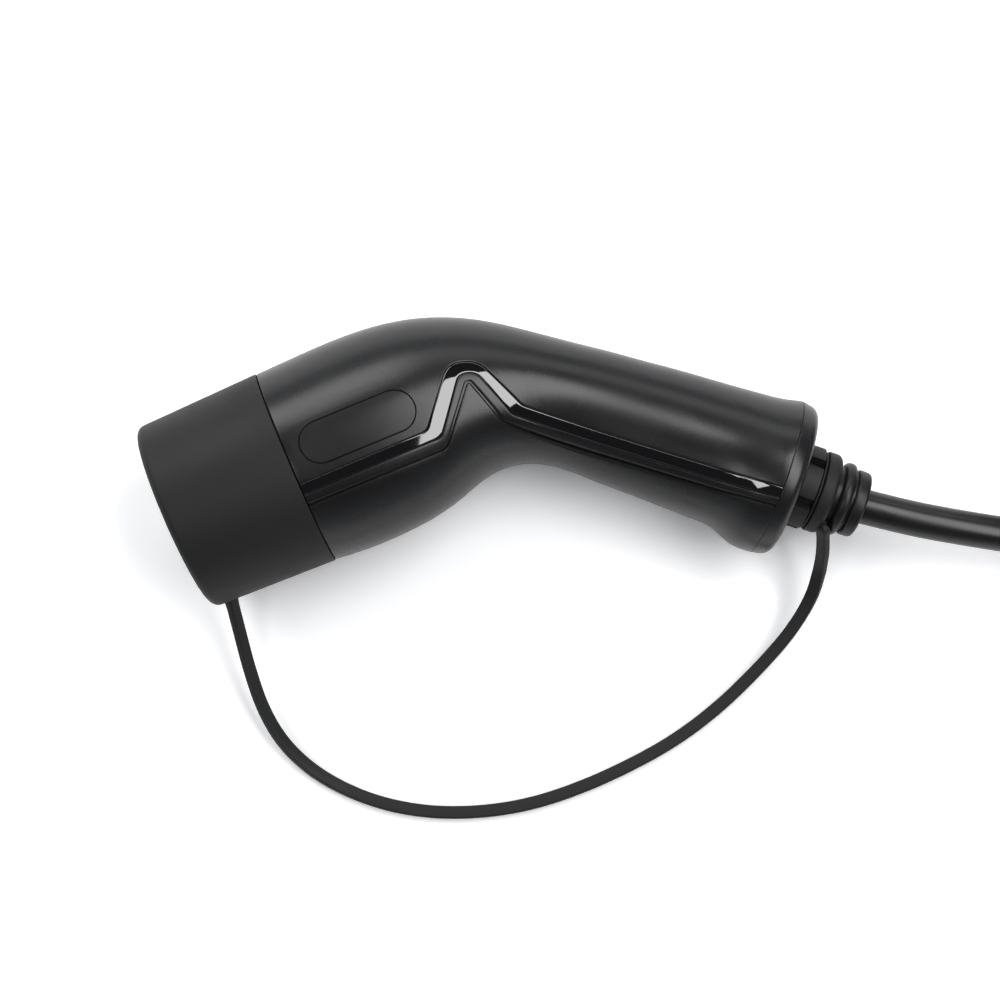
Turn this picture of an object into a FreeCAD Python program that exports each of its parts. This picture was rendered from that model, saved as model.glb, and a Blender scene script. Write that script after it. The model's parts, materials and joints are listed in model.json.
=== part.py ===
import FreeCAD, Part

# A charging cable for an electric car: the hand-held vehicle connector with its
# pull-off nose cap and tether, five metres of cable wound into a coil, and the plug
# for the charging station on the far end.
# Millimetres. The floor is Z = 0. The connector lies on its side: its mating axis
# runs along X, front towards -X, and the outside of its bend faces +Y.

import math
import os

from FreeCAD import Placement, Rotation, Vector

os.makedirs("parts", exist_ok=True)

# Cable
cable_radius = 6.35
cable_clearance = 0.1
coil_turns = 10.067
coil_start_angle = 238.0
coil_layers = 4
coil_middle_radius = 73.3
coil_climb_turns = 0.2
coil_centre = (298.0, -73.0)

# Housing of both hand pieces, measured along its centreline from the front face
housing_front_radius = 35.8
nose_straight = 37.5
bend_radius = 106.0
bend_angle = 42.3
handle_straight = 63.9
rear_radius = 28.6
housing_wall = 2.6
front_wall = 4.0
grip_sections = [
    # distance along, half height outside the bend, inside the bend, half width
    (12.0, 36.2, 36.9, 35.2),
    (30.0, 36.5, 36.8, 34.3),
    (42.0, 35.8, 35.6, 33.2),
    (55.0, 34.0, 32.6, 31.4),
    (70.0, 30.4, 26.5, 28.4),
    (85.0, 26.0, 22.3, 25.2),
    (100.0, 23.4, 21.6, 23.3),
    (115.0, 23.5, 22.6, 22.7),
    (135.0, 24.9, 23.2, 23.2),
    (155.0, 25.9, 24.0, 24.4),
    (165.0, 26.5, 25.2, 25.8),
    (171.5, 27.0, 28.0, 27.3),
]

# Lines along the side of the housing: corners as distance along the centreline and
# height above it. Each rises to a peak at the bend and then follows the handle.
parting_line = [(0.0, -17.5), (53.0, -16.6), (64.8, 4.2), (66.5, 4.5), (77.3, -9.8)]
parting_rear_height = -12.4
rib_line = [(0.0, -14.2), (52.3, -13.3), (63.1, 7.3), (69.5, 6.1), (80.6, -7.8)]
rib_rear_height = -10.1
trim_line = [(0.0, -10.6), (49.3, -9.9), (61.0, 9.8), (69.0, 11.8), (84.1, -4.6)]
trim_rear_height = -6.4
line_corner_round = [4.0, 1.6, 1.6, 5.0]
trim_depth = 1.2
parting_groove_width = 0.8
parting_groove_depth = 0.9

# Marking panel outlined on each side of the nose
panel_middle = 25.7
panel_half_length = 21.0
panel_half_height = 7.6
panel_groove = 0.5
panel_depth = 0.5

# Nose cap
cap_gap = 0.3
cap_length = 46.6
cap_rim_radius = 36.0
cap_front_radius = 34.5
cap_wall = 2.6
cap_edge_round = 3.0
cap_boss_radius = 2.5
cap_boss_root = (-40.54, -30.70, -12.18)
cap_boss_tip = (-41.81, -36.60, -15.72)

# Insulated nose with its seven contacts
nose_radius = 29.5
nose_flat = 23.0
nose_length = 40.0
shroud_wall = 2.4
nose_floor = 4.0
base_radius = 30.2
base_depth = 10.0
base_clearance = 0.2
insert_step = 0.8
insert_clearance = 0.1
flange_radius = 32.6
flange_thick = 3.8
retainer_thick = 3.0
sleeve_wall = 1.8
sleeve_setback = 1.5
mouth_growth = 0.4
seam_turn = 20.0
power_outer = 4.3
power_bore = 3.05
pilot_outer = 2.5
pilot_bore = 1.55
contact_setback = 3.7
contact_bore_depth = 25.0
contact_clearance = 0.1
power_barrel = 3.4
pilot_barrel = 1.9
barrel_length = 14.0
power_pin = 3.0
pin_chamfer = 1.2
contact_chamfer = 0.5
pilot_pin = 1.5
pin_setback = 4.0
contact_places = {
    # name: height above the mating axis, distance to the side, power contact or not
    "pe": (0.0, 0.0, True),
    "l1": (0.0, -16.0, True),
    "n": (0.0, 16.0, True),
    "l2": (-14.0, -8.5, True),
    "l3": (-14.0, 8.5, True),
    "cp": (12.5, 6.6, False),
    "pp": (12.5, -6.6, False),
}
seal_width = 3.0
seal_height = 2.4

# Conductors and what holds the cable in the handle
core_ring_radius = 3.95
power_core = 1.5
pilot_core = 0.9
tail_length = 30.0
tail_setback = 0.6
clamp_place = 22.0
clamp_length = 8.0
clamp_half_width = 15.0
clamp_height = 9.5
clamp_screw_spread = 11.0
clamp_screw_radius = 1.5
housing_screw_radius = 1.5
housing_screw_head = 2.9
housing_screw_depth = 2.6
screw_reach = 9.0
boss_radius = 3.6
front_boss_place = 28.0
front_boss_aside = -24.0
rear_boss_lead = 37.7
rear_boss_aside = -15.0

# Rear end of the handle, measured behind its rear ring's front face
ring_length = 6.5
ring_round = 3.0
ring_face = 3.0
ring_spigot = 3.0
spigot_wall = 1.8
spigot_grow = 0.2
spigot_gap = 0.1
gland_thread_radius = 11.0
gland_clearance = 0.2
gland_body_radius = 11.6
gland_lug_radius = 15.2
gland_lugs = 6
gland_lug_share = 0.74
gland_lug_length = 7.1
gland_flange_radius = 14.3
gland_flange = 1.0
gland_thread_length = 9.5
nut_across = 27.0
nut_thick = 5.0
seal_bore = 8.8
tether_ring_width = 5.4
tether_ring_radius = 14.8
tether_ring_clearance = 0.3
tether_gap = 0.2
sleeve_neck_radius = 11.8
sleeve_rib_radius = 13.4
sleeve_end_radius = 12.2
sleeve_groove_radius = 10.9
sleeve_length = 11.4
tether_tail_radius = 2.0
tether_tail_root = (5.16, -11.68, 7.76)
tether_tail_tip = (7.65, -15.75, 2.64)

# Soft parts that are put down by hand: the tether and the two free runs of cable.
# The first and last point of each is worked out from what it comes out of.
tether_radius = 2.2
tether_points = [
    (-114.4, -11.9, 17.6),
    (-117.2, -26.6, 13.4),
    (-118.9, -41.8, 9.4),
    (-117.5, -55.7, 6.0),
    (-112.3, -68.7, 3.6),
    (-103.8, -80.5, 2.5),
    (-92.1, -91.7, 2.3),
    (-77.4, -101.2, 2.3),
    (-60.9, -108.2, 2.3),
    (-43.0, -112.9, 2.3),
    (-24.0, -114.7, 2.3),
    (-3.9, -114.5, 2.3),
    (16.2, -112.6, 2.3),
    (35.7, -107.9, 2.5),
    (54.0, -100.9, 3.8),
    (70.4, -93.1, 7.0),
    (82.7, -83.9, 12.0),
    (88.4, -76.0, 17.0),
    (90.1, -72.2, 22.0),
    (91.3, -68.7, 27.0),
]
lead_points = [
    (123.3, -70.3, 27.1),
    (137.1, -79.5, 26.2),
    (152.5, -89.2, 24.3),
    (175.0, -102.5, 20.0),
    (200.0, -117.5, 14.4),
    (225.0, -134.1, 9.8),
]
return_points = [
    (305.7, -163.5, 45.8),
    (325.5, -166.0, 43.6),
    (348.5, -167.4, 39.4),
    (368.3, -164.6, 34.4),
    (387.0, -157.4, 30.0),
    (403.4, -146.1, 27.4),
]
station_place = (503.3, 41.9)
station_turn = -90.0
vehicle_place = (-70.0, 32.5)

# Ties round the coil
tie_thick = 1.6
tie_width = 20.0
tie_gap = 0.2
tie_angles = [75.0, 195.0]

X_AXIS = Vector(1, 0, 0)
Y_AXIS = Vector(0, 1, 0)
Z_AXIS = Vector(0, 0, 1)
bend_start = nose_straight
bend_end = nose_straight + bend_radius * math.radians(bend_angle)
housing_length = bend_end + handle_straight
boss_places = [
    (front_boss_place, front_boss_aside),
    (housing_length - rear_boss_lead, rear_boss_aside),
]
ring_end = ring_length
gland_end = ring_end + gland_lug_length + 0.4 + gland_flange
far = 300.0
overlap = 2.0


def centre_at(along):
    """Point of the centreline, and the direction it runs in, at a distance along."""
    turned = math.radians(bend_angle)
    if along <= bend_start:
        return Vector(along, 0, 0), 0.0
    if along <= bend_end:
        turned = (along - bend_start) / bend_radius
    x = nose_straight + bend_radius * math.sin(turned)
    y = -bend_radius * (1 - math.cos(turned))
    rest = max(0.0, along - bend_end)
    x += rest * math.cos(turned)
    y -= rest * math.sin(turned)
    return Vector(x, y, 0), turned


def beside(along, height, aside=0.0):
    """Point at a height above the centreline and a distance to its side."""
    point, turned = centre_at(along)
    up = Vector(math.sin(turned), math.cos(turned), 0)
    return point + up * height + Z_AXIS * aside


def section_sizes():
    """All sections of the housing, with its front face and its rear end."""
    front = (0.0,) + (housing_front_radius,) * 3
    rear = (housing_length,) + (rear_radius,) * 3
    return [front] + grip_sections + [rear]


def sizes_at(along):
    """Half heights and half width of the housing, between two of its sections."""
    rows = section_sizes()
    for before, after in zip(rows, rows[1:]):
        if along <= after[0]:
            share = (along - before[0]) / (after[0] - before[0])
            return [a + share * (b - a) for a, b in zip(before[1:], after[1:])]
    return list(rows[-1][1:])


def section_wire(along, inset):
    """Closed oval across the centreline, drawn in by an inset."""
    above, below, half_width = sizes_at(along)
    middle = (above - below) / 2
    half_height = (above + below) / 2 - inset
    points = []
    count = 16
    for step in range(count):
        angle = 2 * math.pi * step / count
        height = middle + half_height * math.cos(angle)
        points.append(beside(along, height, (half_width - inset) * math.sin(angle)))
    curve = Part.BSplineCurve()
    curve.interpolate(Points=points, PeriodicFlag=True)
    return Part.Wire(curve.toShape())


def grip_solid(inset=0.0, start=0.0, overrun=0.0):
    """The handle's outer shape, or a smaller one inside it. The smaller one may start
    behind the front face and run on past the rear end."""
    stops = [start] + [row[0] for row in section_sizes() if row[0] > start + 2.0]
    if overrun:
        stops.append(housing_length + overrun)
    wires = [section_wire(along, inset) for along in stops]
    return Part.makeLoft(wires, True, False)


def rounded_path(points, rounds=None):
    """Straight runs joined by tangent arcs. Without given radii each arc is as large
    as its runs allow: 0.45 of the shorter run over the tangent of half the turn."""
    edges = []
    radii = []
    last = points[0]
    for i in range(1, len(points) - 1):
        back = points[i - 1] - points[i]
        ahead = points[i + 1] - points[i]
        half_turn = (math.pi - back.getAngle(ahead)) / 2
        cut = 0.45 * min(back.Length, ahead.Length)
        if rounds:
            cut = min(cut, rounds[i - 1] * math.tan(half_turn))
        radius = cut / math.tan(half_turn)
        radii.append(radius)
        back.normalize()
        ahead.normalize()
        start = points[i] + back * cut
        end = points[i] + ahead * cut
        inward = (back + ahead).normalize()
        middle = points[i] + inward * (radius / math.cos(half_turn) - radius)
        edges.append(Part.LineSegment(last, start).toShape())
        edges.append(Part.Arc(start, middle, end).toShape())
        last = end
    edges.append(Part.LineSegment(last, points[-1]).toShape())
    return edges, radii


def tube(points, radius, name=None):
    """Round cord along straight runs and tangent arcs."""
    edges, radii = rounded_path(points)
    path = Part.Wire(edges)
    along = points[1] - points[0]
    ring = Part.Wire(Part.makeCircle(radius, points[0], along))
    solid = path.makePipeShell([ring], True, False)
    if name:
        ideal = math.pi * radius**2 * path.Length
        print(
            name,
            "length %.1f" % path.Length,
            "smallest radius %.1f" % min(radii),
            "volume over section times length %.4f" % (solid.Volume / ideal),
        )
    return solid


def turned(corners, rounds=None):
    """Solid of revolution about X from corners given as (x, radius)."""
    points = [Vector(x, r, 0) for x, r in corners]
    edges = []
    count = len(points)
    cuts = [0.0] * count
    for i, size in (rounds or {}).items():
        cuts[i] = size
    for i in range(count):
        here = points[i]
        after = points[(i + 1) % count]
        run = (after - here).normalize()
        start = here + run * cuts[i]
        end = after - run * cuts[(i + 1) % count]
        if (end - start).Length > 1e-6:
            edges.append(Part.LineSegment(start, end).toShape())
        nxt = (i + 1) % count
        if cuts[nxt]:
            out = (points[(nxt + 1) % count] - after).normalize()
            leave = after + out * cuts[nxt]
            half_turn = (math.pi - (run * -1).getAngle(out)) / 2
            radius = cuts[nxt] / math.tan(half_turn)
            inward = (out - run).normalize()
            middle = after + inward * (radius / math.cos(half_turn) - radius)
            edges.append(Part.Arc(end, middle, leave).toShape())
    face = Part.Face(Part.Wire(edges))
    solid = face.revolve(Vector(0, 0, 0), X_AXIS, 360)
    return solid


def rod(radius, start, end):
    """Cylinder between two points."""
    run = end - start
    return Part.makeCylinder(radius, run.Length, start, run)


def block(low, high):
    """Box between two corners."""
    size = high - low
    return Part.makeBox(size.x, size.y, size.z, low)


def above(corners, rear_height, drop=0.0):
    """Everything above a line along the housing's side, right through the housing."""
    line = [beside(along, height - drop) for along, height in corners]
    line[0] = Vector(-5.0, line[0].y, 0)
    line.append(beside(housing_length + 25.0, rear_height - drop))
    edges, _ = rounded_path(line, line_corner_round)
    end = line[-1]
    frame = [end, Vector(far, end.y, 0), Vector(far, far, 0), Vector(-5.0, far, 0), line[0]]
    for a, b in zip(frame, frame[1:]):
        edges.append(Part.LineSegment(a, b).toShape())
    face = Part.Face(Part.Wire(edges))
    face.translate(Vector(0, 0, -far / 2))
    return face.extrude(Vector(0, 0, far))


def panel_prism(inset):
    """Upright prism of the pill-shaped marking panel."""
    radius = panel_half_height - inset
    reach = panel_half_length - panel_half_height
    left = Vector(panel_middle - reach, 0, -far / 2)
    right = Vector(panel_middle + reach, 0, -far / 2)
    bar = block(left - Y_AXIS * radius, right + Y_AXIS * radius + Z_AXIS * far)
    ends = [rod(radius, p, p + Z_AXIS * far) for p in (left, right)]
    return bar.multiFuse(ends).removeSplitter()


def handle_frame():
    """Placement whose X runs out of the handle's rear end, along its axis."""
    point, turn = centre_at(housing_length)
    return Placement(point, Rotation(Z_AXIS, -math.degrees(turn)))


def at_handle(shape):
    """The same shape, moved from the handle's own frame to the hand piece's."""
    return shape.transformed(handle_frame().toMatrix())


def screw_line(along, aside):
    """Ends of a housing screw's centreline, below and above the housing."""
    return beside(along, -50.0, aside), beside(along, 50.0, aside)


def skin_depth_at(along, aside, inset=0.0):
    """How far below the centreline the housing's lower surface is at one side."""
    up, below, half_width = sizes_at(along)
    middle = (up - below) / 2
    half_height = (up + below) / 2 - inset
    share = 1 - (aside / (half_width - inset)) ** 2
    return middle - half_height * math.sqrt(share)


def screw_solid(along, aside):
    """Housing screw: its head sunk in the lower shell, its shank in the upper one."""
    seat = skin_depth_at(along, aside) + housing_screw_depth
    top = parting_height_at(along) + screw_reach
    head = rod(housing_screw_head, beside(along, seat - 2.2, aside), beside(along, seat, aside))
    shank = rod(housing_screw_radius, beside(along, seat, aside), beside(along, top, aside))
    middle = beside(along, seat - 2.2, aside)
    up = beside(along, 1.0) - beside(along, 0.0)
    drive = rod(1.1, middle, middle + up * 1.2)
    return head.fuse(shank).cut(drive)


def parting_height_at(along):
    """Height of the parting line over the centreline, on its two straight runs."""
    if along < parting_line[1][0]:
        return parting_line[0][1]
    return parting_rear_height


def shells():
    """Upper and lower shell with the two trim strips let into the upper one."""
    outside = grip_solid()
    walls = outside.cut(grip_solid(housing_wall, front_wall, overlap))
    opening = rod(base_radius + base_clearance, Vector(-1, 0, 0), Vector(front_wall + 2, 0, 0))
    spigot_room = rod(
        rear_radius - housing_wall + spigot_grow + spigot_gap,
        Vector(-ring_spigot - spigot_gap, 0, 0),
        Vector(5, 0, 0),
    )
    walls = walls.cut([opening, at_handle(spigot_room)])
    columns = []
    for along, aside in boss_places:
        low, high = screw_line(along, aside)
        columns.append(rod(boss_radius, low, high).common(outside))
    clamp_rib = at_handle(
        block(
            Vector(-clamp_place - clamp_length, -far / 6, -clamp_half_width - 2),
            Vector(-clamp_place, -0.2, clamp_half_width + 2),
        )
    ).common(outside)
    parting = above(parting_line, parting_rear_height)
    upper = walls.fuse(columns).common(parting)
    lower = walls.fuse(columns).cut(parting)
    lower = lower.fuse(clamp_rib.cut(parting))

    skin = outside.cut(grip_solid(trim_depth, -overlap, overlap))
    rib_region = above(rib_line, rib_rear_height)
    band = rib_region.cut(above(trim_line, trim_rear_height))
    trims = skin.common(band)
    left = trims.common(block(Vector(-50, -far, 0), Vector(far, far, far)))
    right = trims.common(block(Vector(-50, -far, -far), Vector(far, far, 0)))

    groove_skin = outside.cut(grip_solid(parting_groove_depth, -overlap, overlap))
    groove = above(parting_line, parting_rear_height, parting_groove_width).cut(parting)
    panel = panel_prism(0.0).cut(panel_prism(panel_groove))
    panel_skin = outside.cut(grip_solid(panel_depth, -overlap, overlap))
    upper = upper.cut(trims)
    upper = upper.cut(panel.common(panel_skin))
    lower = lower.cut(groove.common(groove_skin))

    holes = [at_handle(rod(cable_radius + cable_clearance, Vector(-60, 0, 0), Vector(5, 0, 0)))]
    for side in (-1, 1):
        hole = rod(
            clamp_screw_radius,
            Vector(-clamp_place - clamp_length / 2, -8.0, side * clamp_screw_spread),
            Vector(-clamp_place - clamp_length / 2, 5.0, side * clamp_screw_spread),
        )
        holes.append(at_handle(hole))
    for along, aside in boss_places:
        low, _ = screw_line(along, aside)
        seat = skin_depth_at(along, aside) + housing_screw_depth
        top = parting_height_at(along) + screw_reach
        head_end = beside(along, seat, aside)
        holes.append(rod(housing_screw_head + 0.2, low, head_end))
        shank_start = beside(along, seat - 1, aside)
        holes.append(rod(housing_screw_radius, shank_start, beside(along, top, aside)))
    upper = upper.cut(holes)
    lower = lower.cut(holes)
    return {
        "upper_shell": upper,
        "lower_shell": lower,
        "trim_strip_left": left,
        "trim_strip_right": right,
    }


def nose_profile(radius, flat, start, end, seam=0.0):
    """Round bar with a flat on top, the keyed shape of the mating face."""
    bar = rod(radius, Vector(start, 0, 0), Vector(end, 0, 0))
    bar.rotate(Vector(0, 0, 0), X_AXIS, seam)
    keep = block(Vector(start - 1, -far, -far), Vector(end + 1, flat, far))
    return bar.common(keep)


def contact_axis(name):
    """Centre of a contact in the mating face."""
    height, aside, _ = contact_places[name]
    return Vector(0, height, aside)


def contact_rod(radius, name, start, end):
    """Cylinder round a contact's axis. Its seam is turned out of the planes in which
    the contacts lie, so that a cut along such a plane never meets it."""
    axis = contact_axis(name)
    solid = rod(radius, axis + X_AXIS * start, axis + X_AXIS * end)
    solid.rotate(axis, X_AXIS, seam_turn)
    return solid


def nose_shroud():
    """Keyed tube of the mating face, with the flange that both shells grip."""
    tube_part = nose_profile(nose_radius, nose_flat, -nose_length, 0)
    base = rod(base_radius, Vector(-nose_floor, 0, 0), Vector(base_depth, 0, 0))
    flange_start = front_wall + base_clearance
    flange = rod(
        flange_radius, Vector(flange_start, 0, 0), Vector(flange_start + flange_thick, 0, 0)
    )
    radius = nose_radius - shroud_wall
    flat = nose_flat - shroud_wall
    hollow = nose_profile(radius, flat, -nose_length - 1, base_depth + 1)
    seat = nose_profile(radius + insert_step, flat + insert_step, -nose_floor, base_depth + 1)
    return tube_part.multiFuse([base, flange]).cut([hollow, seat]).removeSplitter()


def contact_insert(with_sleeves):
    """Insulated block in the nose: seven bores, and a sleeve in front of each socket."""
    grow = insert_step - insert_clearance - shroud_wall
    front = -nose_floor + insert_clearance
    body = nose_profile(nose_radius + grow, nose_flat + grow, front, base_depth, seam_turn)
    bores = []
    sleeves = []
    for name, (_, _, power) in contact_places.items():
        bore = (power_outer if power else pilot_outer) + contact_clearance
        if with_sleeves:
            start = -nose_length + sleeve_setback
            mouth = (power_bore if power else pilot_bore) + mouth_growth
            sleeves.append(contact_rod(bore + sleeve_wall, name, start, -nose_floor + 1))
            bores.append(contact_rod(mouth, name, start - 1, 0))
            bores.append(contact_rod(bore, name, -nose_length + contact_setback, far))
        else:
            bores.append(contact_rod(bore, name, -far, far))
    if sleeves:
        body = body.multiFuse(sleeves)
    return body.cut(bores).removeSplitter()


def contact(name, socket):
    """One contact: a socket tube or a pin in front, a collar and a crimp barrel."""
    _, _, power = contact_places[name]
    outer = power_outer if power else pilot_outer
    bore = power_bore if power else pilot_bore
    barrel = power_barrel if power else pilot_barrel
    core = power_core if power else pilot_core
    front = -nose_length + contact_setback
    shoulder = base_depth
    end = shoulder + retainer_thick + barrel_length - retainer_thick
    if socket:
        corners = [
            (front, bore),
            (front, outer - contact_chamfer),
            (front + contact_chamfer, outer),
            (shoulder, outer),
            (shoulder, barrel),
            (end, barrel),
            (end, core + contact_clearance),
            (end - 8, core + contact_clearance),
            (end - 8, 0),
            (front + contact_bore_depth, 0),
            (front + contact_bore_depth, bore),
        ]
    else:
        pin = power_pin if power else pilot_pin
        front = -nose_length + pin_setback
        corners = [
            (front, 0),
            (front, pin - pin_chamfer),
            (front + pin_chamfer, pin),
            (-nose_floor - 1, pin),
            (-nose_floor - 1, outer),
            (shoulder, outer),
            (shoulder, barrel),
            (end, barrel),
            (end, core + contact_clearance),
            (end - 8, core + contact_clearance),
            (end - 8, 0),
        ]
    solid = turned(corners)
    solid.rotate(Vector(0, 0, 0), X_AXIS, seam_turn)
    solid.translate(contact_axis(name))
    return solid


def retainer():
    """Plate behind the contacts' shoulders that keeps them in the nose."""
    plate = rod(
        flange_radius - 3.0,
        Vector(base_depth, 0, 0),
        Vector(base_depth + retainer_thick, 0, 0),
    )
    holes = []
    for name, (_, _, power) in contact_places.items():
        barrel = (power_barrel if power else pilot_barrel) + contact_clearance
        axis = contact_axis(name)
        holes.append(rod(barrel, axis, axis + X_AXIS * 30))
    return plate.cut(holes)


def cores():
    """Seven insulated conductors from the cable's stripped end to the contacts."""
    order = ["pe", "n", "cp", "pp", "l1", "l2", "l3"]
    solids = []
    for name in order:
        height, aside, power = contact_places[name]
        if name == "pe":
            up, side = 0.0, 0.0
        else:
            angle = math.radians(90 - 60 * order.index(name) + 60)
            up = core_ring_radius * math.sin(angle)
            side = core_ring_radius * math.cos(angle)
        rear = housing_length - tail_length
        near = base_depth + barrel_length
        points = [
            beside(rear, up, side),
            beside(rear - 28.0, up, side),
            beside(rear - 54.0, up * 1.1, side * 1.1),
            beside(rear - 78.0, up * 1.3, side * 1.3),
            Vector(near + 16.0, height, aside),
            Vector(near - 7.8, height, aside),
        ]
        solids.append(tube(points, power_core if power else pilot_core))
    return Part.makeCompound(solids)


def resistor():
    """Coding resistor lying on the retainer plate between the two pilot contacts."""
    x = base_depth + retainer_thick + 1.3
    body = turned([(-2.8, 0), (-2.8, 1.25), (2.8, 1.25), (2.8, 0)])
    wires = rod(0.3, Vector(-4.4, 0, 0), Vector(4.4, 0, 0))
    both = body.fuse(wires)
    both.rotate(Vector(0, 0, 0), Y_AXIS, 90)
    both.translate(Vector(x, contact_places["pp"][0], 0))
    return both


def clamp():
    """Saddle that presses the cable onto the lower shell's rib."""
    start = -clamp_place - clamp_length
    saddle = block(
        Vector(start, 0.3, -clamp_half_width),
        Vector(start + clamp_length, clamp_height, clamp_half_width),
    )
    saddle = saddle.cut(rod(cable_radius, Vector(start - 1, 0, 0), Vector(start + 9, 0, 0)))
    middle = start + clamp_length / 2
    for side in (-1, 1):
        foot = Vector(middle, -1, side * clamp_screw_spread)
        saddle = saddle.cut(rod(clamp_screw_radius + 0.1, foot, foot + Y_AXIS * 20))
    return at_handle(saddle)


def clamp_screws():
    """The two screws of the saddle."""
    solids = []
    middle = -clamp_place - clamp_length / 2
    for side in (-1, 1):
        foot = Vector(middle, -7.0, side * clamp_screw_spread)
        top = Vector(middle, clamp_height, side * clamp_screw_spread)
        shank = rod(clamp_screw_radius, foot, top)
        head = rod(2.7, top, top + Y_AXIS * 2.0)
        drive = rod(1.0, top + Y_AXIS * 1.0, top + Y_AXIS * 3.0)
        solids.append(at_handle(shank.fuse(head).cut(drive)))
    return Part.makeCompound(solids)


def rear_ring():
    """Ring that closes the handle's rear end and holds both shells together."""
    inner = rear_radius - housing_wall
    hole = gland_thread_radius + gland_clearance
    corners = [
        (-ring_spigot, inner + spigot_grow),
        (0, inner + spigot_grow),
        (0, rear_radius),
        (ring_end, rear_radius - 1.2),
        (ring_end, hole),
        (ring_end - ring_face, hole),
        (ring_end - ring_face, inner - spigot_wall),
        (-ring_spigot, inner - spigot_wall),
    ]
    return at_handle(turned(corners, {3: ring_round}))


def lock_nut():
    """Hexagonal nut inside the handle that holds the gland."""
    start = ring_end - ring_face - nut_thick
    points = []
    across = nut_across / 2 / math.cos(math.radians(30))
    for step in range(7):
        angle = math.radians(60 * step)
        points.append(Vector(start, across * math.cos(angle), across * math.sin(angle)))
    face = Part.Face(Part.makePolygon(points))
    hexagon = face.extrude(X_AXIS * nut_thick)
    bore = rod(gland_thread_radius + 0.1, Vector(start - 1, 0, 0), Vector(start + 9, 0, 0))
    return at_handle(hexagon.cut(bore))


def gland():
    """Cable gland: a castellated collar, a flange and a threaded tail inwards."""
    lug_end = ring_end + gland_lug_length
    corners = [
        (ring_end - gland_thread_length, seal_bore),
        (ring_end - gland_thread_length, gland_thread_radius),
        (ring_end, gland_thread_radius),
        (ring_end, gland_body_radius),
        (lug_end + 0.4, gland_body_radius),
        (lug_end + 0.4, gland_flange_radius),
        (gland_end, gland_flange_radius),
        (gland_end, cable_radius + cable_clearance),
        (ring_end, cable_radius + cable_clearance),
        (ring_end, seal_bore),
    ]
    body = turned(corners, {5: 0.5, 6: 0.5})
    step = 2 * math.pi / gland_lugs
    half = step * gland_lug_share / 2
    tube_ring = rod(gland_lug_radius, Vector(ring_end + 0.2, 0, 0), Vector(lug_end, 0, 0))
    tube_ring = tube_ring.cut(rod(gland_body_radius - 0.5, Vector(0, 0, 0), Vector(60, 0, 0)))
    for i in range(gland_lugs):
        angle = math.pi / 2 + i * step
        reach = gland_lug_radius + 2
        corners = [Vector(0, 0, 0)]
        for turn in (-half, half):
            across = Vector(0, math.cos(angle + turn), math.sin(angle + turn))
            corners.append(across * (reach / math.cos(half)))
        corners.append(corners[0])
        wedge = Part.Face(Part.makePolygon(corners)).extrude(X_AXIS * 60)
        body = body.fuse(tube_ring.common(wedge))
    return at_handle(body.removeSplitter())


def gland_seal():
    """Rubber sleeve squeezed between the gland and the cable."""
    start = ring_end - gland_thread_length
    corners = [
        (start, cable_radius + 0.05),
        (start, seal_bore - 0.05),
        (ring_end - 0.1, seal_bore - 0.05),
        (ring_end - 0.1, cable_radius + 0.05),
    ]
    return at_handle(turned(corners))


def neck_end(tethered):
    """Where the bend sleeve's shoulder starts behind the gland."""
    if tethered:
        return gland_end + tether_ring_width + 2 * tether_gap
    return gland_end


def tether_ring():
    """Loop round the bend sleeve's neck, with the tail that the tether grows from."""
    start = gland_end + tether_gap
    end = start + tether_ring_width
    inner = sleeve_neck_radius + tether_ring_clearance
    corners = [
        (start, inner),
        (start, tether_ring_radius),
        (end, tether_ring_radius),
        (end, inner),
    ]
    loop = turned(corners, {1: 0.6, 2: 2.2})
    root = Vector(gland_end, 0, 0) + Vector(*tether_tail_root)
    tip = Vector(gland_end, 0, 0) + Vector(*tether_tail_tip)
    tail = rod(tether_tail_radius, root, tip)
    core = rod(inner, Vector(start - 5, 0, 0), Vector(end + 5, 0, 0))
    base = Part.makeSphere(tether_tail_radius, root)
    return at_handle(loop.multiFuse([tail.cut(core), base.cut(core)]))


def bend_sleeve(tethered):
    """Ribbed rubber sleeve that keeps the cable from kinking at the gland."""
    start = gland_end
    neck = neck_end(tethered)
    end = neck + sleeve_length
    bore = cable_radius + cable_clearance
    corners = [
        (start, bore),
        (start, sleeve_neck_radius),
        (neck, sleeve_neck_radius),
        (neck, sleeve_groove_radius + 0.3),
        (neck + 1.5, sleeve_groove_radius + 0.3),
        (neck + 1.5, sleeve_rib_radius),
        (neck + 5.8, sleeve_rib_radius),
        (neck + 5.8, sleeve_groove_radius),
        (neck + 6.7, sleeve_groove_radius),
        (neck + 6.7, sleeve_end_radius),
        (end, sleeve_end_radius - 0.2),
        (end, bore),
    ]
    rounds = {5: 1.9, 6: 1.9, 9: 0.9, 10: 1.2}
    if not tethered:
        del corners[2]
        corners[1] = (start, sleeve_groove_radius + 0.3)
        del corners[2]
        rounds = {i - 2: size for i, size in rounds.items()}
    return at_handle(turned(corners, rounds))


def cable_tail(tethered):
    """The end of the cable that the handle, the gland and the sleeve hold."""
    end = neck_end(tethered) + sleeve_length - tail_setback
    return at_handle(rod(cable_radius, Vector(-tail_length, 0, 0), Vector(end, 0, 0)))


def nose_seal():
    """Rubber ring round the foot of the nose."""
    inner = base_radius
    corners = [
        (-nose_floor, inner),
        (-nose_floor + 0.6, inner + seal_height),
        (-nose_floor + seal_width, inner + seal_height),
        (-nose_floor + seal_width, inner),
    ]
    return turned(corners)


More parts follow.
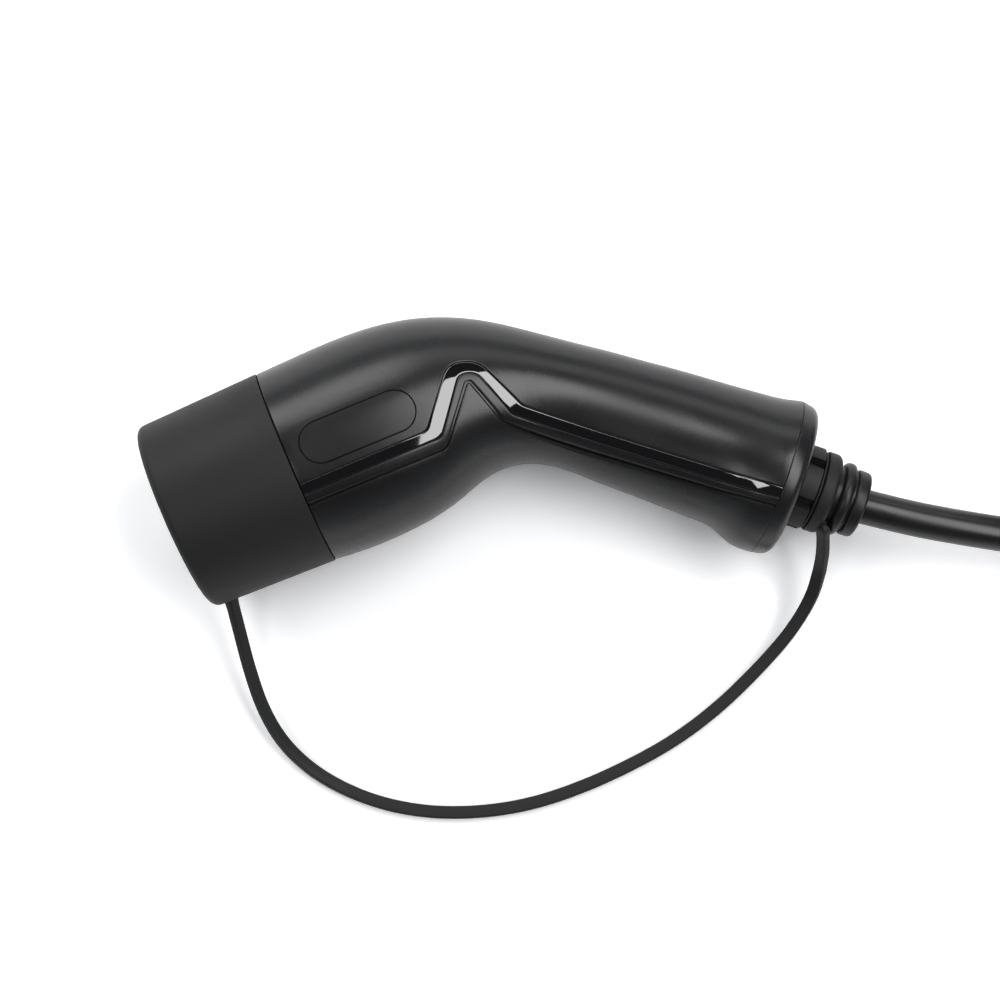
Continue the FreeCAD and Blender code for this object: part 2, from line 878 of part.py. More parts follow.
def cap():
    """Pull-off cap over the nose, with the boss that the tether grows from."""
    front = -cap_length
    inner_front = front + cap_wall + 0.6
    corners = [
        (front, 0),
        (front, cap_front_radius),
        (-cap_gap, cap_rim_radius),
        (-cap_gap, cap_rim_radius - cap_wall),
        (inner_front, cap_front_radius - cap_wall),
        (inner_front, 0),
    ]
    shell = turned(corners, {1: cap_edge_round, 4: 2.0})
    boss = rod(cap_boss_radius, Vector(*cap_boss_root), Vector(*cap_boss_tip))
    keep_out = turned(
        [
            (inner_front - 1, 0),
            (inner_front - 1, cap_front_radius - 1),
            (0, cap_rim_radius - 1),
            (0, 0),
        ]
    )
    return shell.fuse(boss.cut(keep_out))


def shared_pieces():
    """The pieces that both hand pieces have alike, by name, in their own frame."""
    pieces = shells()
    pieces["contact_retainer"] = retainer()
    pieces["cores"] = cores()
    pieces["coding_resistor"] = resistor()
    pieces["nose_seal"] = nose_seal()
    screws = []
    for along, aside in boss_places:
        screws.append(screw_solid(along, aside))
    pieces["housing_screws"] = Part.makeCompound(screws)
    pieces["cable_clamp"] = clamp()
    pieces["clamp_screws"] = clamp_screws()
    pieces["rear_ring"] = rear_ring()
    pieces["lock_nut"] = lock_nut()
    pieces["gland"] = gland()
    pieces["gland_seal"] = gland_seal()
    return pieces


def own_pieces(vehicle):
    """The pieces that differ between the vehicle connector and the station plug."""
    pieces = {"nose_shroud": nose_shroud(), "contact_insert": contact_insert(vehicle)}
    for name in contact_places:
        pieces["contact_" + name] = contact(name, vehicle)
    pieces["bend_sleeve"] = bend_sleeve(vehicle)
    pieces["cable_tail"] = cable_tail(vehicle)
    if vehicle:
        pieces["tether_ring"] = tether_ring()
        pieces["cap"] = cap()
    return pieces


def lying(rim_radius, rim_x, turn, place):
    """Placement in which a hand piece lies on its front rim and on its rear ring."""
    ring_x = handle_frame().multVec(Vector(ring_length * 0.35, 0, 0)).x
    slope = math.atan((rim_radius - rear_radius) / (ring_x - rim_x))
    height = rim_x * math.sin(slope) + rim_radius * math.cos(slope)
    tip = Rotation(Y_AXIS, math.degrees(slope))
    return Placement(Vector(place[0], place[1], height), Rotation(Z_AXIS, turn).multiply(tip))


def exit_of(frame, tethered):
    """Where the cable leaves a hand piece, and the direction it leaves in."""
    end = neck_end(tethered) + sleeve_length
    point = frame.multVec(handle_frame().multVec(Vector(end, 0, 0)))
    ahead = frame.multVec(handle_frame().multVec(Vector(end + 1, 0, 0)))
    return point, ahead - point


def coil_radii():
    """Radius of the innermost and of the outermost turn's centreline."""
    per_layer = (coil_turns - (coil_layers - 1) * coil_climb_turns) / coil_layers
    spread = per_layer * 2 * cable_radius * 1.02
    return coil_middle_radius - spread / 2, coil_middle_radius + spread / 2


def coil_solid():
    """Outer shape of the wound cable: a ring of rounded rectangular section."""
    inner, outer = coil_radii()
    low = tie_thick
    high = tie_thick + coil_layers * 2 * cable_radius
    corners = [
        (low, inner - cable_radius),
        (high, inner - cable_radius),
        (high, outer + cable_radius),
        (low, outer + cable_radius),
    ]
    ring = turned(corners, {0: cable_radius, 1: cable_radius, 2: cable_radius, 3: cable_radius})
    ring.rotate(Vector(0, 0, 0), Y_AXIS, -90)
    ring.translate(Vector(coil_centre[0], coil_centre[1], 0))
    return ring


def coil_tie(angle):
    """Flat band wrapped once round the coil's section."""
    inner, outer = coil_radii()
    low = tie_thick - tie_gap
    high = tie_thick + coil_layers * 2 * cable_radius + tie_gap
    near = inner - cable_radius - tie_gap - 1.2
    away = outer + cable_radius + tie_gap + 1.2
    bands = []
    for grow in (0.0, tie_thick - tie_gap):
        corners = [
            Vector(near - grow, 0, low - grow),
            Vector(away + grow, 0, low - grow),
            Vector(away + grow, 0, high + grow),
            Vector(near - grow, 0, high + grow),
        ]
        face = Part.Face(Part.makePolygon(corners + corners[:1]))
        face.translate(Vector(0, -tie_width / 2, 0))
        solid = face.extrude(Y_AXIS * tie_width)
        upright = [e for e in solid.Edges if abs(e.tangentAt(e.FirstParameter).y) > 0.99]
        bands.append(solid.makeFillet(4.0 + grow, upright))
    band = bands[1].cut(bands[0])
    band.rotate(Vector(0, 0, 0), Z_AXIS, angle)
    band.translate(Vector(coil_centre[0], coil_centre[1], 0))
    return band


def coil_end(along_turns, layer):
    """Point of the coil's centreline at its start or its end, on the outer turn."""
    _, outer = coil_radii()
    angle = math.radians(coil_start_angle + 360 * along_turns)
    x = coil_centre[0] + outer * math.cos(angle)
    y = coil_centre[1] + outer * math.sin(angle)
    return Vector(x, y, tie_thick + cable_radius + layer * 2 * cable_radius)


def write(name, shape):
    """One STEP file for one piece."""
    if not shape.isValid():
        print("not valid:", name)
    shape.exportStep("parts/" + name + ".step")


def main():
    vehicle = lying(cap_rim_radius, -cap_gap, 0.0, vehicle_place)
    station = lying(housing_front_radius, 0.0, station_turn, station_place)
    made = {}
    shared = shared_pieces()
    for kind, frame in (("vehicle", vehicle), ("station", station)):
        pieces = {**shared, **own_pieces(kind == "vehicle")}
        for name, shape in pieces.items():
            made[kind + "_" + name] = shape.transformed(frame.toMatrix())

    start, out = exit_of(vehicle, True)
    print("vehicle exit", start, out)
    lead = [start] + [Vector(*p) for p in lead_points] + [coil_end(0, 0)]
    made["cable_lead"] = tube(lead, cable_radius, "cable_lead")
    end, out = exit_of(station, False)
    print("station exit", end, out)
    back = [coil_end(coil_turns, coil_layers - 1)] + [Vector(*p) for p in return_points] + [end]
    made["cable_return"] = tube(back, cable_radius, "cable_return")
    made["cable_coil"] = coil_solid()
    made["coil_ties"] = Part.makeCompound([coil_tie(angle) for angle in tie_angles])

    tip = Vector(gland_end, 0, 0) + Vector(*tether_tail_tip)
    ends = [vehicle.multVec(Vector(*cap_boss_tip)), vehicle.multVec(handle_frame().multVec(tip))]
    print("tether ends", ends)
    strap = [ends[0]] + [Vector(*p) for p in tether_points] + [ends[1]]
    made["cap_tether"] = tube(strap, tether_radius, "cap_tether")

    for name, shape in made.items():
        write(name, shape)
        points, facets = shape.tessellate(0.2)
        lowest = min(p.z for p in points)
        sizes = (name, len(shape.Solids), shape.Volume, lowest, len(facets))
        print("%-26s solids %d volume %9.0f lowest %6.2f facets %d" % sizes)
    print("coil start", coil_end(0, 0), "end", coil_end(coil_turns, coil_layers - 1))
    print("coil radii", coil_radii())
    print("vehicle slope", vehicle.Rotation.Angle, "height", vehicle.Base.z)


main()
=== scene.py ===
# %% [markdown]
# # A charging cable for an electric car
#
# The object is a hand-held connector, moulded in black plastic, that lies on its side
# on a white floor. A rubber cap covers its nose and hangs on a flat rubber strap. The
# cable leaves the handle through a gland and runs off to the right. Outside the picture
# it is wound into a coil, and it ends in the plug for the charging station.
#
# The solid model is loaded first. It fixes every place and size, and the pieces made
# here take the place of its plain solids where a smoother or richer surface is wanted.

# %% Load the solid model
import json
import math

import bpy
import bmesh
import numpy as np
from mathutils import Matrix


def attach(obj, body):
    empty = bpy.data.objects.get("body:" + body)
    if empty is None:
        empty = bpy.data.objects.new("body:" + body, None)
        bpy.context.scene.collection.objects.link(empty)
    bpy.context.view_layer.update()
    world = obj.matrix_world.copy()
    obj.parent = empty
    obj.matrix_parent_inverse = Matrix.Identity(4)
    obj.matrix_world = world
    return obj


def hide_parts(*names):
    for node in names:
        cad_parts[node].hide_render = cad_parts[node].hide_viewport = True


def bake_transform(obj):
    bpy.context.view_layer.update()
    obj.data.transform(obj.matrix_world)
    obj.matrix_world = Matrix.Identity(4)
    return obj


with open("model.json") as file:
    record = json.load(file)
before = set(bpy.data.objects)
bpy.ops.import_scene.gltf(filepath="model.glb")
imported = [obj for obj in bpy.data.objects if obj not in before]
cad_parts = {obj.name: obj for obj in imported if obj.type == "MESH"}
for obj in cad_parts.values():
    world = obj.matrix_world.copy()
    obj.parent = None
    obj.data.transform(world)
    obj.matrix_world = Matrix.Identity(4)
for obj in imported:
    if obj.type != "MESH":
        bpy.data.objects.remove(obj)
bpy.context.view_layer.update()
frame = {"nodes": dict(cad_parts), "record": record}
nodes = frame["nodes"]
slots = {part["node"]: part["material_slot"] for part in frame["record"]["subparts"]}


def new_object(name, data):
    """An object with this data, put into the scene."""
    made = bpy.data.objects.new(name, data)
    bpy.context.scene.collection.objects.link(made)
    return made


# %% [markdown]
# ## The camera
#
# The picture was taken from almost straight above with a lens a little longer than
# normal. The place, the turn and the focal length are set so that the cap, the bend and
# the rear ring fall where the photograph shows them.

# %% Camera
SENSOR_WIDTH = 36.0
LENS = 61.56
CAMERA_PLACE = (-0.013545, -0.051807, 0.642306)
CAMERA_TURN = (0.071, 0.021, -0.407)

camera_data = bpy.data.cameras.new("camera")
camera_data.sensor_width = SENSOR_WIDTH
camera_data.lens = LENS
camera = new_object("camera", camera_data)
camera.location = CAMERA_PLACE
camera.rotation_euler = CAMERA_TURN
bpy.context.scene.camera = camera
print("camera at", CAMERA_PLACE, "lens", LENS, "mm")

# %% [markdown]
# ## How the connector lies
#
# All forms of the connector are worked out in its own frame, in millimetres: X runs
# back along the mating axis from the seam between the cap and the housing, Y points to
# the outside of the bend and Z to the side that faces the camera. The connector rests on
# the cap's rim and on the thinner rear ring, so it is tipped by a small angle. The
# station plug is placed in the same way, without a cap and turned by a quarter.

# %% The connector's own frame
MM = 0.001
CAP_RIM_RADIUS = 36.0
CAP_GAP = 0.3
FRONT_RADIUS = 35.8
REAR_RADIUS = 28.6
RING_LENGTH = 6.5
RING_TOUCH = 0.35  # share of the ring's length at which it touches the floor
NOSE_STRAIGHT = 37.5
BEND_RADIUS = 106.0
BEND_ANGLE = math.radians(42.3)
HANDLE_STRAIGHT = 63.9
BEND_END = NOSE_STRAIGHT + BEND_RADIUS * BEND_ANGLE
HOUSING_LENGTH = BEND_END + HANDLE_STRAIGHT


def centreline(along):
    """Points of the centreline at distances along it, and the angle it has turned by:
    straight, then an arc, then straight again."""
    along = np.asarray(along, float)
    turned = np.clip((along - NOSE_STRAIGHT) / BEND_RADIUS, 0.0, BEND_ANGLE)
    before = np.minimum(along, NOSE_STRAIGHT)
    after = np.maximum(along - BEND_END, 0.0)
    x = before + BEND_RADIUS * np.sin(turned) + after * math.cos(BEND_ANGLE)
    y = -BEND_RADIUS * (1 - np.cos(turned)) - after * math.sin(BEND_ANGLE)
    return x, y, turned


def lying(rim_radius, rim_x, turn, place):
    """A function that takes points of a hand piece's own frame, in millimetres, to the
    model's frame in metres: a tip about Y, a turn about Z and a shift."""
    ring_x = centreline(HOUSING_LENGTH + RING_LENGTH * RING_TOUCH)[0]
    slope = math.atan((rim_radius - REAR_RADIUS) / (ring_x - rim_x))
    c, s = math.cos(slope), math.sin(slope)
    shift = np.array([*place, rim_x * s + rim_radius * c])
    tip = np.array([[c, 0, s], [0, 1, 0], [-s, 0, c]])
    c, s = math.cos(math.radians(turn)), math.sin(math.radians(turn))
    both = np.array([[c, -s, 0], [s, c, 0], [0, 0, 1]]) @ tip

    def to_model(points):
        return (np.asarray(points, float) @ both.T + shift) * MM

    return to_model


VEHICLE = lying(CAP_RIM_RADIUS, -CAP_GAP, 0.0, (-70.0, 32.5))
STATION = lying(FRONT_RADIUS, 0.0, -90.0, (503.3, 41.9))
HANDS = ((VEHICLE, "vehicle_"), (STATION, "station_"))


def behind_ring(distance, up=0.0, aside=0.0):
    """Points measured behind the front face of the handle's rear ring."""
    x, y, _ = centreline(HOUSING_LENGTH)
    distance, up, aside = np.broadcast_arrays(distance, up, aside)
    c, s = math.cos(BEND_ANGLE), math.sin(BEND_ANGLE)
    return np.stack([x + distance * c + up * s, y - distance * s + up * c, aside], axis=-1)


print("housing", round(HOUSING_LENGTH, 1), "mm long along its centreline")

# %% [markdown]
# ## Finishes
#
# Nearly everything here is black, so the pieces differ by how they scatter light and
# not by colour. The shells are satin, with the fine grain that is etched into the mould.
# The trim is polished and lacquered. The cap, the strap and the sleeve are rubber, which
# is rough and a little paler. One group of nodes makes the grain and a faint unevenness
# at hand size, as left by flow in the mould and by fingers, and every finish uses it at
# its own scale.

# %% Node groups
def add_node(tree, kind, **inputs):
    """A shader node with these inputs, by name: an output is linked, and a number or a
    colour is set."""
    node = tree.nodes.new("ShaderNode" + kind)
    for label, value in inputs.items():
        socket = node.inputs[label.replace("_", " ")]
        if isinstance(value, bpy.types.NodeSocket):
            tree.links.new(value, socket)
        else:
            socket.default_value = value
    return node


def noise(tree, vector, scale, detail, rough=0.5):
    """A noise texture whose scale is a number or an output."""
    node = add_node(tree, "TexNoise", Vector=vector, Scale=scale, Detail=detail, Roughness=rough)
    return node.outputs["Fac"]


def spread(tree, value, low, high, start=0.0, end=1.0):
    """A value carried from start..end to low..high, and held inside."""
    node = add_node(
        tree, "MapRange", Value=value, From_Min=start, From_Max=end, To_Min=low, To_Max=high
    )
    return node.outputs["Result"]


def stripes(tree, direction, scale):
    """Soft bands across one direction of the piece's own space."""
    where = add_node(tree, "TexCoord").outputs["Object"]
    node = add_node(tree, "TexWave", Vector=where, Scale=scale)
    node.bands_direction = direction
    return node.outputs["Fac"]


group = bpy.data.node_groups.new("moulded_surface", "ShaderNodeTree")
sockets = group.interface
for label in ("Grain per metre", "Depth", "Wave", "Low", "High"):
    sockets.new_socket(label, in_out="INPUT", socket_type="NodeSocketFloat")
sockets.new_socket("Roughness", in_out="OUTPUT", socket_type="NodeSocketFloat")
sockets.new_socket("Normal", in_out="OUTPUT", socket_type="NodeSocketVector")
given = group.nodes.new("NodeGroupInput")
made = group.nodes.new("NodeGroupOutput")
place = add_node(group, "TexCoord").outputs["Object"]
grain = noise(group, place, given.outputs["Grain per metre"], 3.0, 0.6)
patches = noise(group, place, 45.0, 4.0, 0.55)
waves = noise(group, place, 120.0, 1.0)
rough = spread(group, patches, given.outputs["Low"], given.outputs["High"], 0.3, 0.7)
slow = add_node(group, "Bump", Distance=given.outputs["Wave"], Height=waves)
fine = add_node(group, "Bump", Distance=given.outputs["Depth"], Height=grain)
group.links.new(slow.outputs["Normal"], fine.inputs["Normal"])
group.links.new(rough, made.inputs["Roughness"])
group.links.new(fine.outputs["Normal"], made.inputs["Normal"])
print("group", group.name, "with", len(group.nodes), "nodes")

# %% Finish by slot
finishes = {}


def finish(slot_name, colour, low, high, grain=3000.0, depth=6e-6, wave=1e-5, **sockets):
    """A finish for one slot: the colour, the range of its roughness, the grain's size
    and depth, the depth of the waves, and further sockets of the shader by name."""
    material = bpy.data.materials.new(slot_name)
    material.use_nodes = True
    tree = material.node_tree
    shader = tree.nodes["Principled BSDF"]
    shader.inputs["Base Color"].default_value = (*colour, 1)
    surface = add_node(tree, "Group")
    surface.node_tree = group
    for socket, value in zip(surface.inputs, (grain, depth, wave, low, high)):
        socket.default_value = value
    for label in ("Roughness", "Normal"):
        tree.links.new(surface.outputs[label], shader.inputs[label])
    for label, value in sockets.items():
        shader.inputs[label.replace("_", " ")].default_value = value
    finishes[slot_name] = material
    return tree, shader


finish("housing_plastic", (0.008, 0.008, 0.0085), 0.25, 0.31, 1800, 2e-5, 2e-5, IOR=1.5)
finish(
    "gloss_trim", (0.003, 0.003, 0.0034), 0.035, 0.06, 2000, 2e-7, 4e-6,
    IOR=1.6, Coat_Weight=1.0, Coat_Roughness=0.03, Coat_IOR=1.6,
)
finish("insulator_plastic", (0.03, 0.03, 0.031), 0.42, 0.5, 3200, 6e-6)
finish("gland_plastic", (0.012, 0.012, 0.012), 0.5, 0.58, 2600, 9e-6, Specular_IOR_Level=0.35)
finish(
    "cap_rubber", (0.0145, 0.0145, 0.015), 0.5, 0.58, 2600, 1.4e-5, 2e-5,
    Specular_IOR_Level=0.28,
)
finish(
    "sleeve_rubber", (0.008, 0.008, 0.008), 0.34, 0.42, 2200, 1.2e-5, 3e-5,
    Specular_IOR_Level=0.35,
)
finish("cable_jacket", (0.009, 0.009, 0.009), 0.25, 0.34, 1800, 8e-6, 3e-5)
finish("seal_rubber", (0.02, 0.02, 0.02), 0.6, 0.7, 2500, 8e-6)
finish("contact_metal", (0.86, 0.84, 0.8), 0.16, 0.3, 6000, 2e-6, Metallic=1.0)
finish("screw_steel", (0.62, 0.62, 0.6), 0.28, 0.42, 5000, 3e-6, Metallic=1.0)

# Each core is an island of its own mesh, and its random number picks its colour.
tree, shader = finish("core_insulation", (0.1, 0.1, 0.1), 0.35, 0.45, 2500, 3e-6)
island = add_node(tree, "NewGeometry").outputs["Random Per Island"]
ramp = add_node(tree, "ValToRGB", Fac=island)
ramp.color_ramp.interpolation = "CONSTANT"
GREEN, BLUE, BROWN = (0.08, 0.3, 0.02), (0.02, 0.1, 0.5), (0.2, 0.08, 0.03)
CORE_COLOURS = [GREEN, BLUE, BROWN, (0.02, 0.02, 0.02), (0.3, 0.3, 0.3)]
for place_on_ramp, colour in zip(np.linspace(0.2, 0.8, 4), CORE_COLOURS[1:]):
    ramp.color_ramp.elements.new(float(place_on_ramp)).color = (*colour, 1)
ramp.color_ramp.elements[0].color = (*CORE_COLOURS[0], 1)
tree.links.new(ramp.outputs["Color"], shader.inputs["Base Color"])

RESISTOR_BLUE = (0.3, 0.42, 0.5)
RESISTOR_BAND = (0.15, 0.04, 0.02)
tree, shader = finish("resistor_body", RESISTOR_BLUE, 0.2, 0.3, 2500, 2e-6)
paint = add_node(tree, "Mix")
paint.data_type = "RGBA"
paint.inputs["A"].default_value = (*RESISTOR_BLUE, 1)
paint.inputs["B"].default_value = (*RESISTOR_BAND, 1)
bands = spread(tree, stripes(tree, "Z", 200.0), 0.0, 1.0, 0.8, 0.85)
tree.links.new(bands, paint.inputs["Factor"])
tree.links.new(paint.outputs["Result"], shader.inputs["Base Color"])

# The ties are woven: threads run in all three directions and the highest one shows.
THREAD_DEPTH = 0.00025
tree, shader = finish("tie_fabric", (0.03, 0.03, 0.03), 0.75, 0.85, 2500, 1e-5, Sheen_Weight=0.3)
threads = [stripes(tree, direction, 330.0) for direction in "XYZ"]
weave = threads[0]
for other in threads[1:]:
    both = add_node(tree, "Math")
    both.operation = "MAXIMUM"
    tree.links.new(weave, both.inputs[0])
    tree.links.new(other, both.inputs[1])
    weave = both.outputs[0]
cloth = add_node(tree, "Bump", Distance=THREAD_DEPTH, Height=weave)
tree.links.new(cloth.outputs["Normal"], shader.inputs["Normal"])
tree.links.new(spread(tree, weave, 0.2, 1.0), shader.inputs["Sheen Weight"])

for name, node in nodes.items():
    for holder in node.material_slots:
        holder.material = finishes[slots[name]]
print(len(finishes), "finishes for", len(nodes), "pieces")

# %% [markdown]
# ## Meshes from arrays
#
# Every new piece is a grid of points that is worked out in one go. The helpers below
# join such grids into one mesh, weld the seams, mark edges sharper than a limit and put
# the piece on its body. The corners of lines and profiles become arcs.

# %% Mesh helpers
WELD = 2e-6
NO_LENGTH = 1e-7
SHARP_LIMIT = math.radians(38)


def grid(points, closed=False, flip=False):
    """Quads over an array of rows and columns of points. Closed joins the last column
    to the first; flip turns the faces round."""
    rows, columns = points.shape[:2]
    index = np.arange(rows * columns).reshape(rows, columns)
    if closed:
        index = np.concatenate([index, index[:, :1]], axis=1)
    quads = np.stack([index[:-1, :-1], index[1:, :-1], index[1:, 1:], index[:-1, 1:]], axis=-1)
    quads = quads.reshape(-1, 4)
    if flip:
        quads = quads[:, ::-1]
    return points.reshape(-1, 3), quads


def unit(vectors):
    """The vectors at length 1."""
    return vectors / np.linalg.norm(vectors, axis=-1, keepdims=True)


def corner_arc(before, corner, after, cut, steps):
    """An arc in place of a corner. It touches both runs at the cut's distance from the
    corner. With its turn t and its ends seen from its centre, the points for shares s
    are (sin((1 - s) t) enter + sin(s t) leave) / sin t."""
    back, ahead = unit(before - corner), unit(after - corner)
    turn = math.pi - math.acos(back @ ahead)
    centre = corner + unit(back + ahead) * cut / math.sin(turn / 2)
    enter, leave = corner + back * cut - centre, corner + ahead * cut - centre
    share = np.linspace(0, 1, steps)[:, None]
    arc = np.sin((1 - share) * turn) * enter + np.sin(share * turn) * leave
    return centre + arc / math.sin(turn)


def make_piece(name, grids, body="cable_set"):
    """One object from several grids whose points are in the model's frame. Doubled
    points are merged and faces without area are dropped."""
    points, quads, start = [], [], 0
    for grid_points, grid_quads in grids:
        points.append(grid_points)
        quads.append(grid_quads + start)
        start += len(grid_points)
    mesh = bpy.data.meshes.new(name)
    mesh.from_pydata(np.concatenate(points), [], np.concatenate(quads))
    work = bmesh.new()
    work.from_mesh(mesh)
    bmesh.ops.remove_doubles(work, verts=work.verts, dist=WELD)
    bmesh.ops.dissolve_degenerate(work, edges=work.edges, dist=NO_LENGTH)
    work.to_mesh(mesh)
    work.free()
    mesh.shade_smooth()
    mesh.set_sharp_from_angle(angle=SHARP_LIMIT)
    piece = new_object(name, mesh)
    if body:
        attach(piece, body)
    print("%-28s %6d faces" % (name, len(mesh.polygons)))
    return piece


def give_wall(piece, thickness):
    """A wall in millimetres towards the inside of a skin, with its rims closed."""
    wall = piece.modifiers.new("wall", "SOLIDIFY")
    wall.thickness = thickness * MM
    wall.offset = -1.0
    return piece


def capped(points):
    """The grid with its first and last row drawn together to a point."""
    ends = points[[0, -1]].mean(axis=1, keepdims=True)
    ends = np.broadcast_to(ends, (2, *points.shape[1:]))
    return np.concatenate([ends[:1], points, ends[1:]])


def replace(piece, *solids):
    """The piece stands for these solids and takes its finish from their slot."""
    slot_name = slots[solids[0]]
    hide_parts(*solids)
    piece.data.materials.append(finishes[slot_name])
    return piece


print("points within", WELD, "m are merged")

# %% [markdown]
# ## The cable
#
# A charging cable for three phases is about 13 mm thick and stiff. Its sheath holds it
# in wide, even curves. The route is a list of given points: a straight start
# out of the bend sleeve, a slow descent to the floor, and then the turns of the coil,
# which a loop works out. A spline of order 3 runs smoothly inside its control points, so
# the points of a round turn stand a little outside the circle that they make.
#
# The coil has four layers: the cable runs inwards along the floor, climbs by its own
# thickness, runs outwards, and so on, and leaves on top at the outside for the plug.

# %% The cable's route
CABLE_RADIUS = 6.35
LEAD = [
    (123.3, -70.3, 27.1), (137.1, -79.5, 26.2), (152.5, -89.2, 24.3),
    (175.0, -102.5, 20.0), (200.0, -117.5, 14.4), (225.0, -134.1, 9.8),
]
RETURN = [
    (305.7, -163.5, 45.8), (325.5, -166.0, 43.6), (348.5, -167.4, 39.4),
    (368.3, -164.6, 34.4), (387.0, -157.4, 30.0), (403.4, -146.1, 27.4),
]
COIL_CENTRE = (298.0, -73.0)
COIL_START = math.radians(238.0)
COIL_TURNS = 10.067
COIL_LAYERS = 4
COIL_CLIMB = 0.2
COIL_MIDDLE = 73.3
COIL_ROOM = 1.02  # spacing of the turns in a layer, as a share of the cable's thickness
TIE_THICK = 1.6
POINTS_PER_TURN = 24


def coil_points():
    """Control points of the coil. Along each layer the radius changes evenly with the
    angle; between layers the height rises by one cable while the radius stays. The
    curve's own radius is (3 + cos of one step) / 4 of that of its control points."""
    per_layer = (COIL_TURNS - (COIL_LAYERS - 1) * COIL_CLIMB) / COIL_LAYERS
    width = per_layer * 2 * CABLE_RADIUS * COIL_ROOM
    inner, outer = COIL_MIDDLE - width / 2, COIL_MIDDLE + width / 2
    knots = [(0.0, outer, 0)]
    for layer in range(COIL_LAYERS):
        end = inner if layer % 2 == 0 else outer
        knots.append((knots[-1][0] + per_layer, end, layer))
        knots.append((knots[-1][0] + COIL_CLIMB, end, layer + 1))
    knots_turn, knots_radius, knots_height = np.transpose(knots)
    turns = np.linspace(0, COIL_TURNS, round(COIL_TURNS * POINTS_PER_TURN))
    angle = COIL_START + 2 * math.pi * turns
    sag = (3 + math.cos(2 * math.pi / POINTS_PER_TURN)) / 4
    radius = np.interp(turns, knots_turn, knots_radius) / sag
    height = np.interp(turns, knots_turn, knots_height) * 2 * CABLE_RADIUS
    x = COIL_CENTRE[0] + radius * np.cos(angle)
    y = COIL_CENTRE[1] + radius * np.sin(angle)
    return np.stack([x, y, height + TIE_THICK + CABLE_RADIUS], axis=-1)


LUG_LENGTH = 7.1
LUG_STEP = 0.4
GLAND_FLANGE = 1.0
GLAND_END = RING_LENGTH + LUG_LENGTH + LUG_STEP + GLAND_FLANGE
TETHER_RING = 5.4
TETHER_GAP = 0.2
SLEEVE_LENGTH = 11.4
NECK_END = {VEHICLE: GLAND_END + TETHER_RING + 2 * TETHER_GAP, STATION: GLAND_END}


def cable_end(hand):
    """Where the cable comes out of a hand piece's bend sleeve, in metres."""
    return hand(behind_ring(NECK_END[hand] + SLEEVE_LENGTH))


def nurbs(name, points, radius=0.0):
    """A smooth open curve with the points as its control points, and a round section of
    the radius. Each point carries the radius, so that the curve's bounds are right."""
    curve = bpy.data.curves.new(name, "CURVE")
    curve.dimensions = "3D"
    spline = curve.splines.new("NURBS")
    spline.points.add(len(points) - 1)
    flat = np.concatenate([points, np.ones((len(points), 1))], axis=1)
    spline.points.foreach_set("co", flat.ravel())
    spline.points.foreach_set("radius", np.full(len(points), radius))
    curve.bevel_depth = 1.0 if radius else 0.0
    curve.bevel_resolution = 6
    spline.order_u = 3
    spline.use_endpoint_u = True
    spline.resolution_u = 6
    return new_object(name, curve)


laid = np.concatenate([LEAD, coil_points(), RETURN]) * MM
route = np.concatenate([[cable_end(VEHICLE)], laid, [cable_end(STATION)]])
cable = nurbs("cable", route, CABLE_RADIUS * MM)
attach(cable, "cable_set")
replace(cable, "cable_lead", "cable_coil", "cable_return")
print("cable route:", len(route), "points, from", route[0], "to", route[-1])

# %% [markdown]
# ## The strap
#
# The cap hangs on a flat strap of soft rubber, moulded in one with a boss on the cap
# and a loop round the bend sleeve. It lies on the floor in a wide bow and stands up at
# both ends, where it also twists a little. Its section is a rounded rectangle that is
# carried along the route; the route's smooth line is read back from a bare curve. The
# roll is given in degrees at shares of the strap's length.

# %% The strap's route
TETHER = [
    (-114.4, -11.9, 17.6), (-117.2, -26.6, 13.4), (-118.9, -41.8, 9.4),
    (-117.5, -55.7, 6.0), (-112.3, -68.7, 3.6), (-103.8, -80.5, 2.5),
    (-92.1, -91.7, 2.3), (-77.4, -101.2, 2.3), (-60.9, -108.2, 2.3),
    (-43.0, -112.9, 2.3), (-24.0, -114.7, 2.3), (-3.9, -114.5, 2.3),
    (16.2, -112.6, 2.3), (35.7, -107.9, 2.5), (54.0, -100.9, 3.8),
    (70.4, -93.1, 7.0), (82.7, -83.9, 12.0), (88.4, -76.0, 17.0),
    (90.1, -72.2, 22.0), (91.3, -68.7, 27.0),
]
STRAP_WIDTH = 4.6
STRAP_THICK = 3.0
STRAP_ROUND = 0.7
STRAP_ARC_POINTS = 5
STRAP_ROLL = [(0, 58), (0.12, 50), (0.3, 12), (0.8, 12), (0.93, 55), (1, 62)]
CAP_BOSS_TIP = (-41.81, -36.60, -15.72)
TAIL_ROOT = (5.16, -11.68, 7.76)
TAIL_TIP = (7.65, -15.75, 2.64)
strap_start = VEHICLE(CAP_BOSS_TIP)
strap_end = VEHICLE(behind_ring(GLAND_END + TAIL_TIP[0], *TAIL_TIP[1:]))


def line_of(points):
    """The smooth line of a spline, as the points of the mesh that the curve gives."""
    bare = nurbs("route", points)
    mesh = bpy.data.meshes.new_from_object(bare)
    line = np.empty(len(mesh.vertices) * 3)
    mesh.vertices.foreach_get("co", line)
    bpy.data.meshes.remove(mesh)
    curve = bare.data
    bpy.data.objects.remove(bare)
    bpy.data.curves.remove(curve)
    return line.reshape(-1, 3)


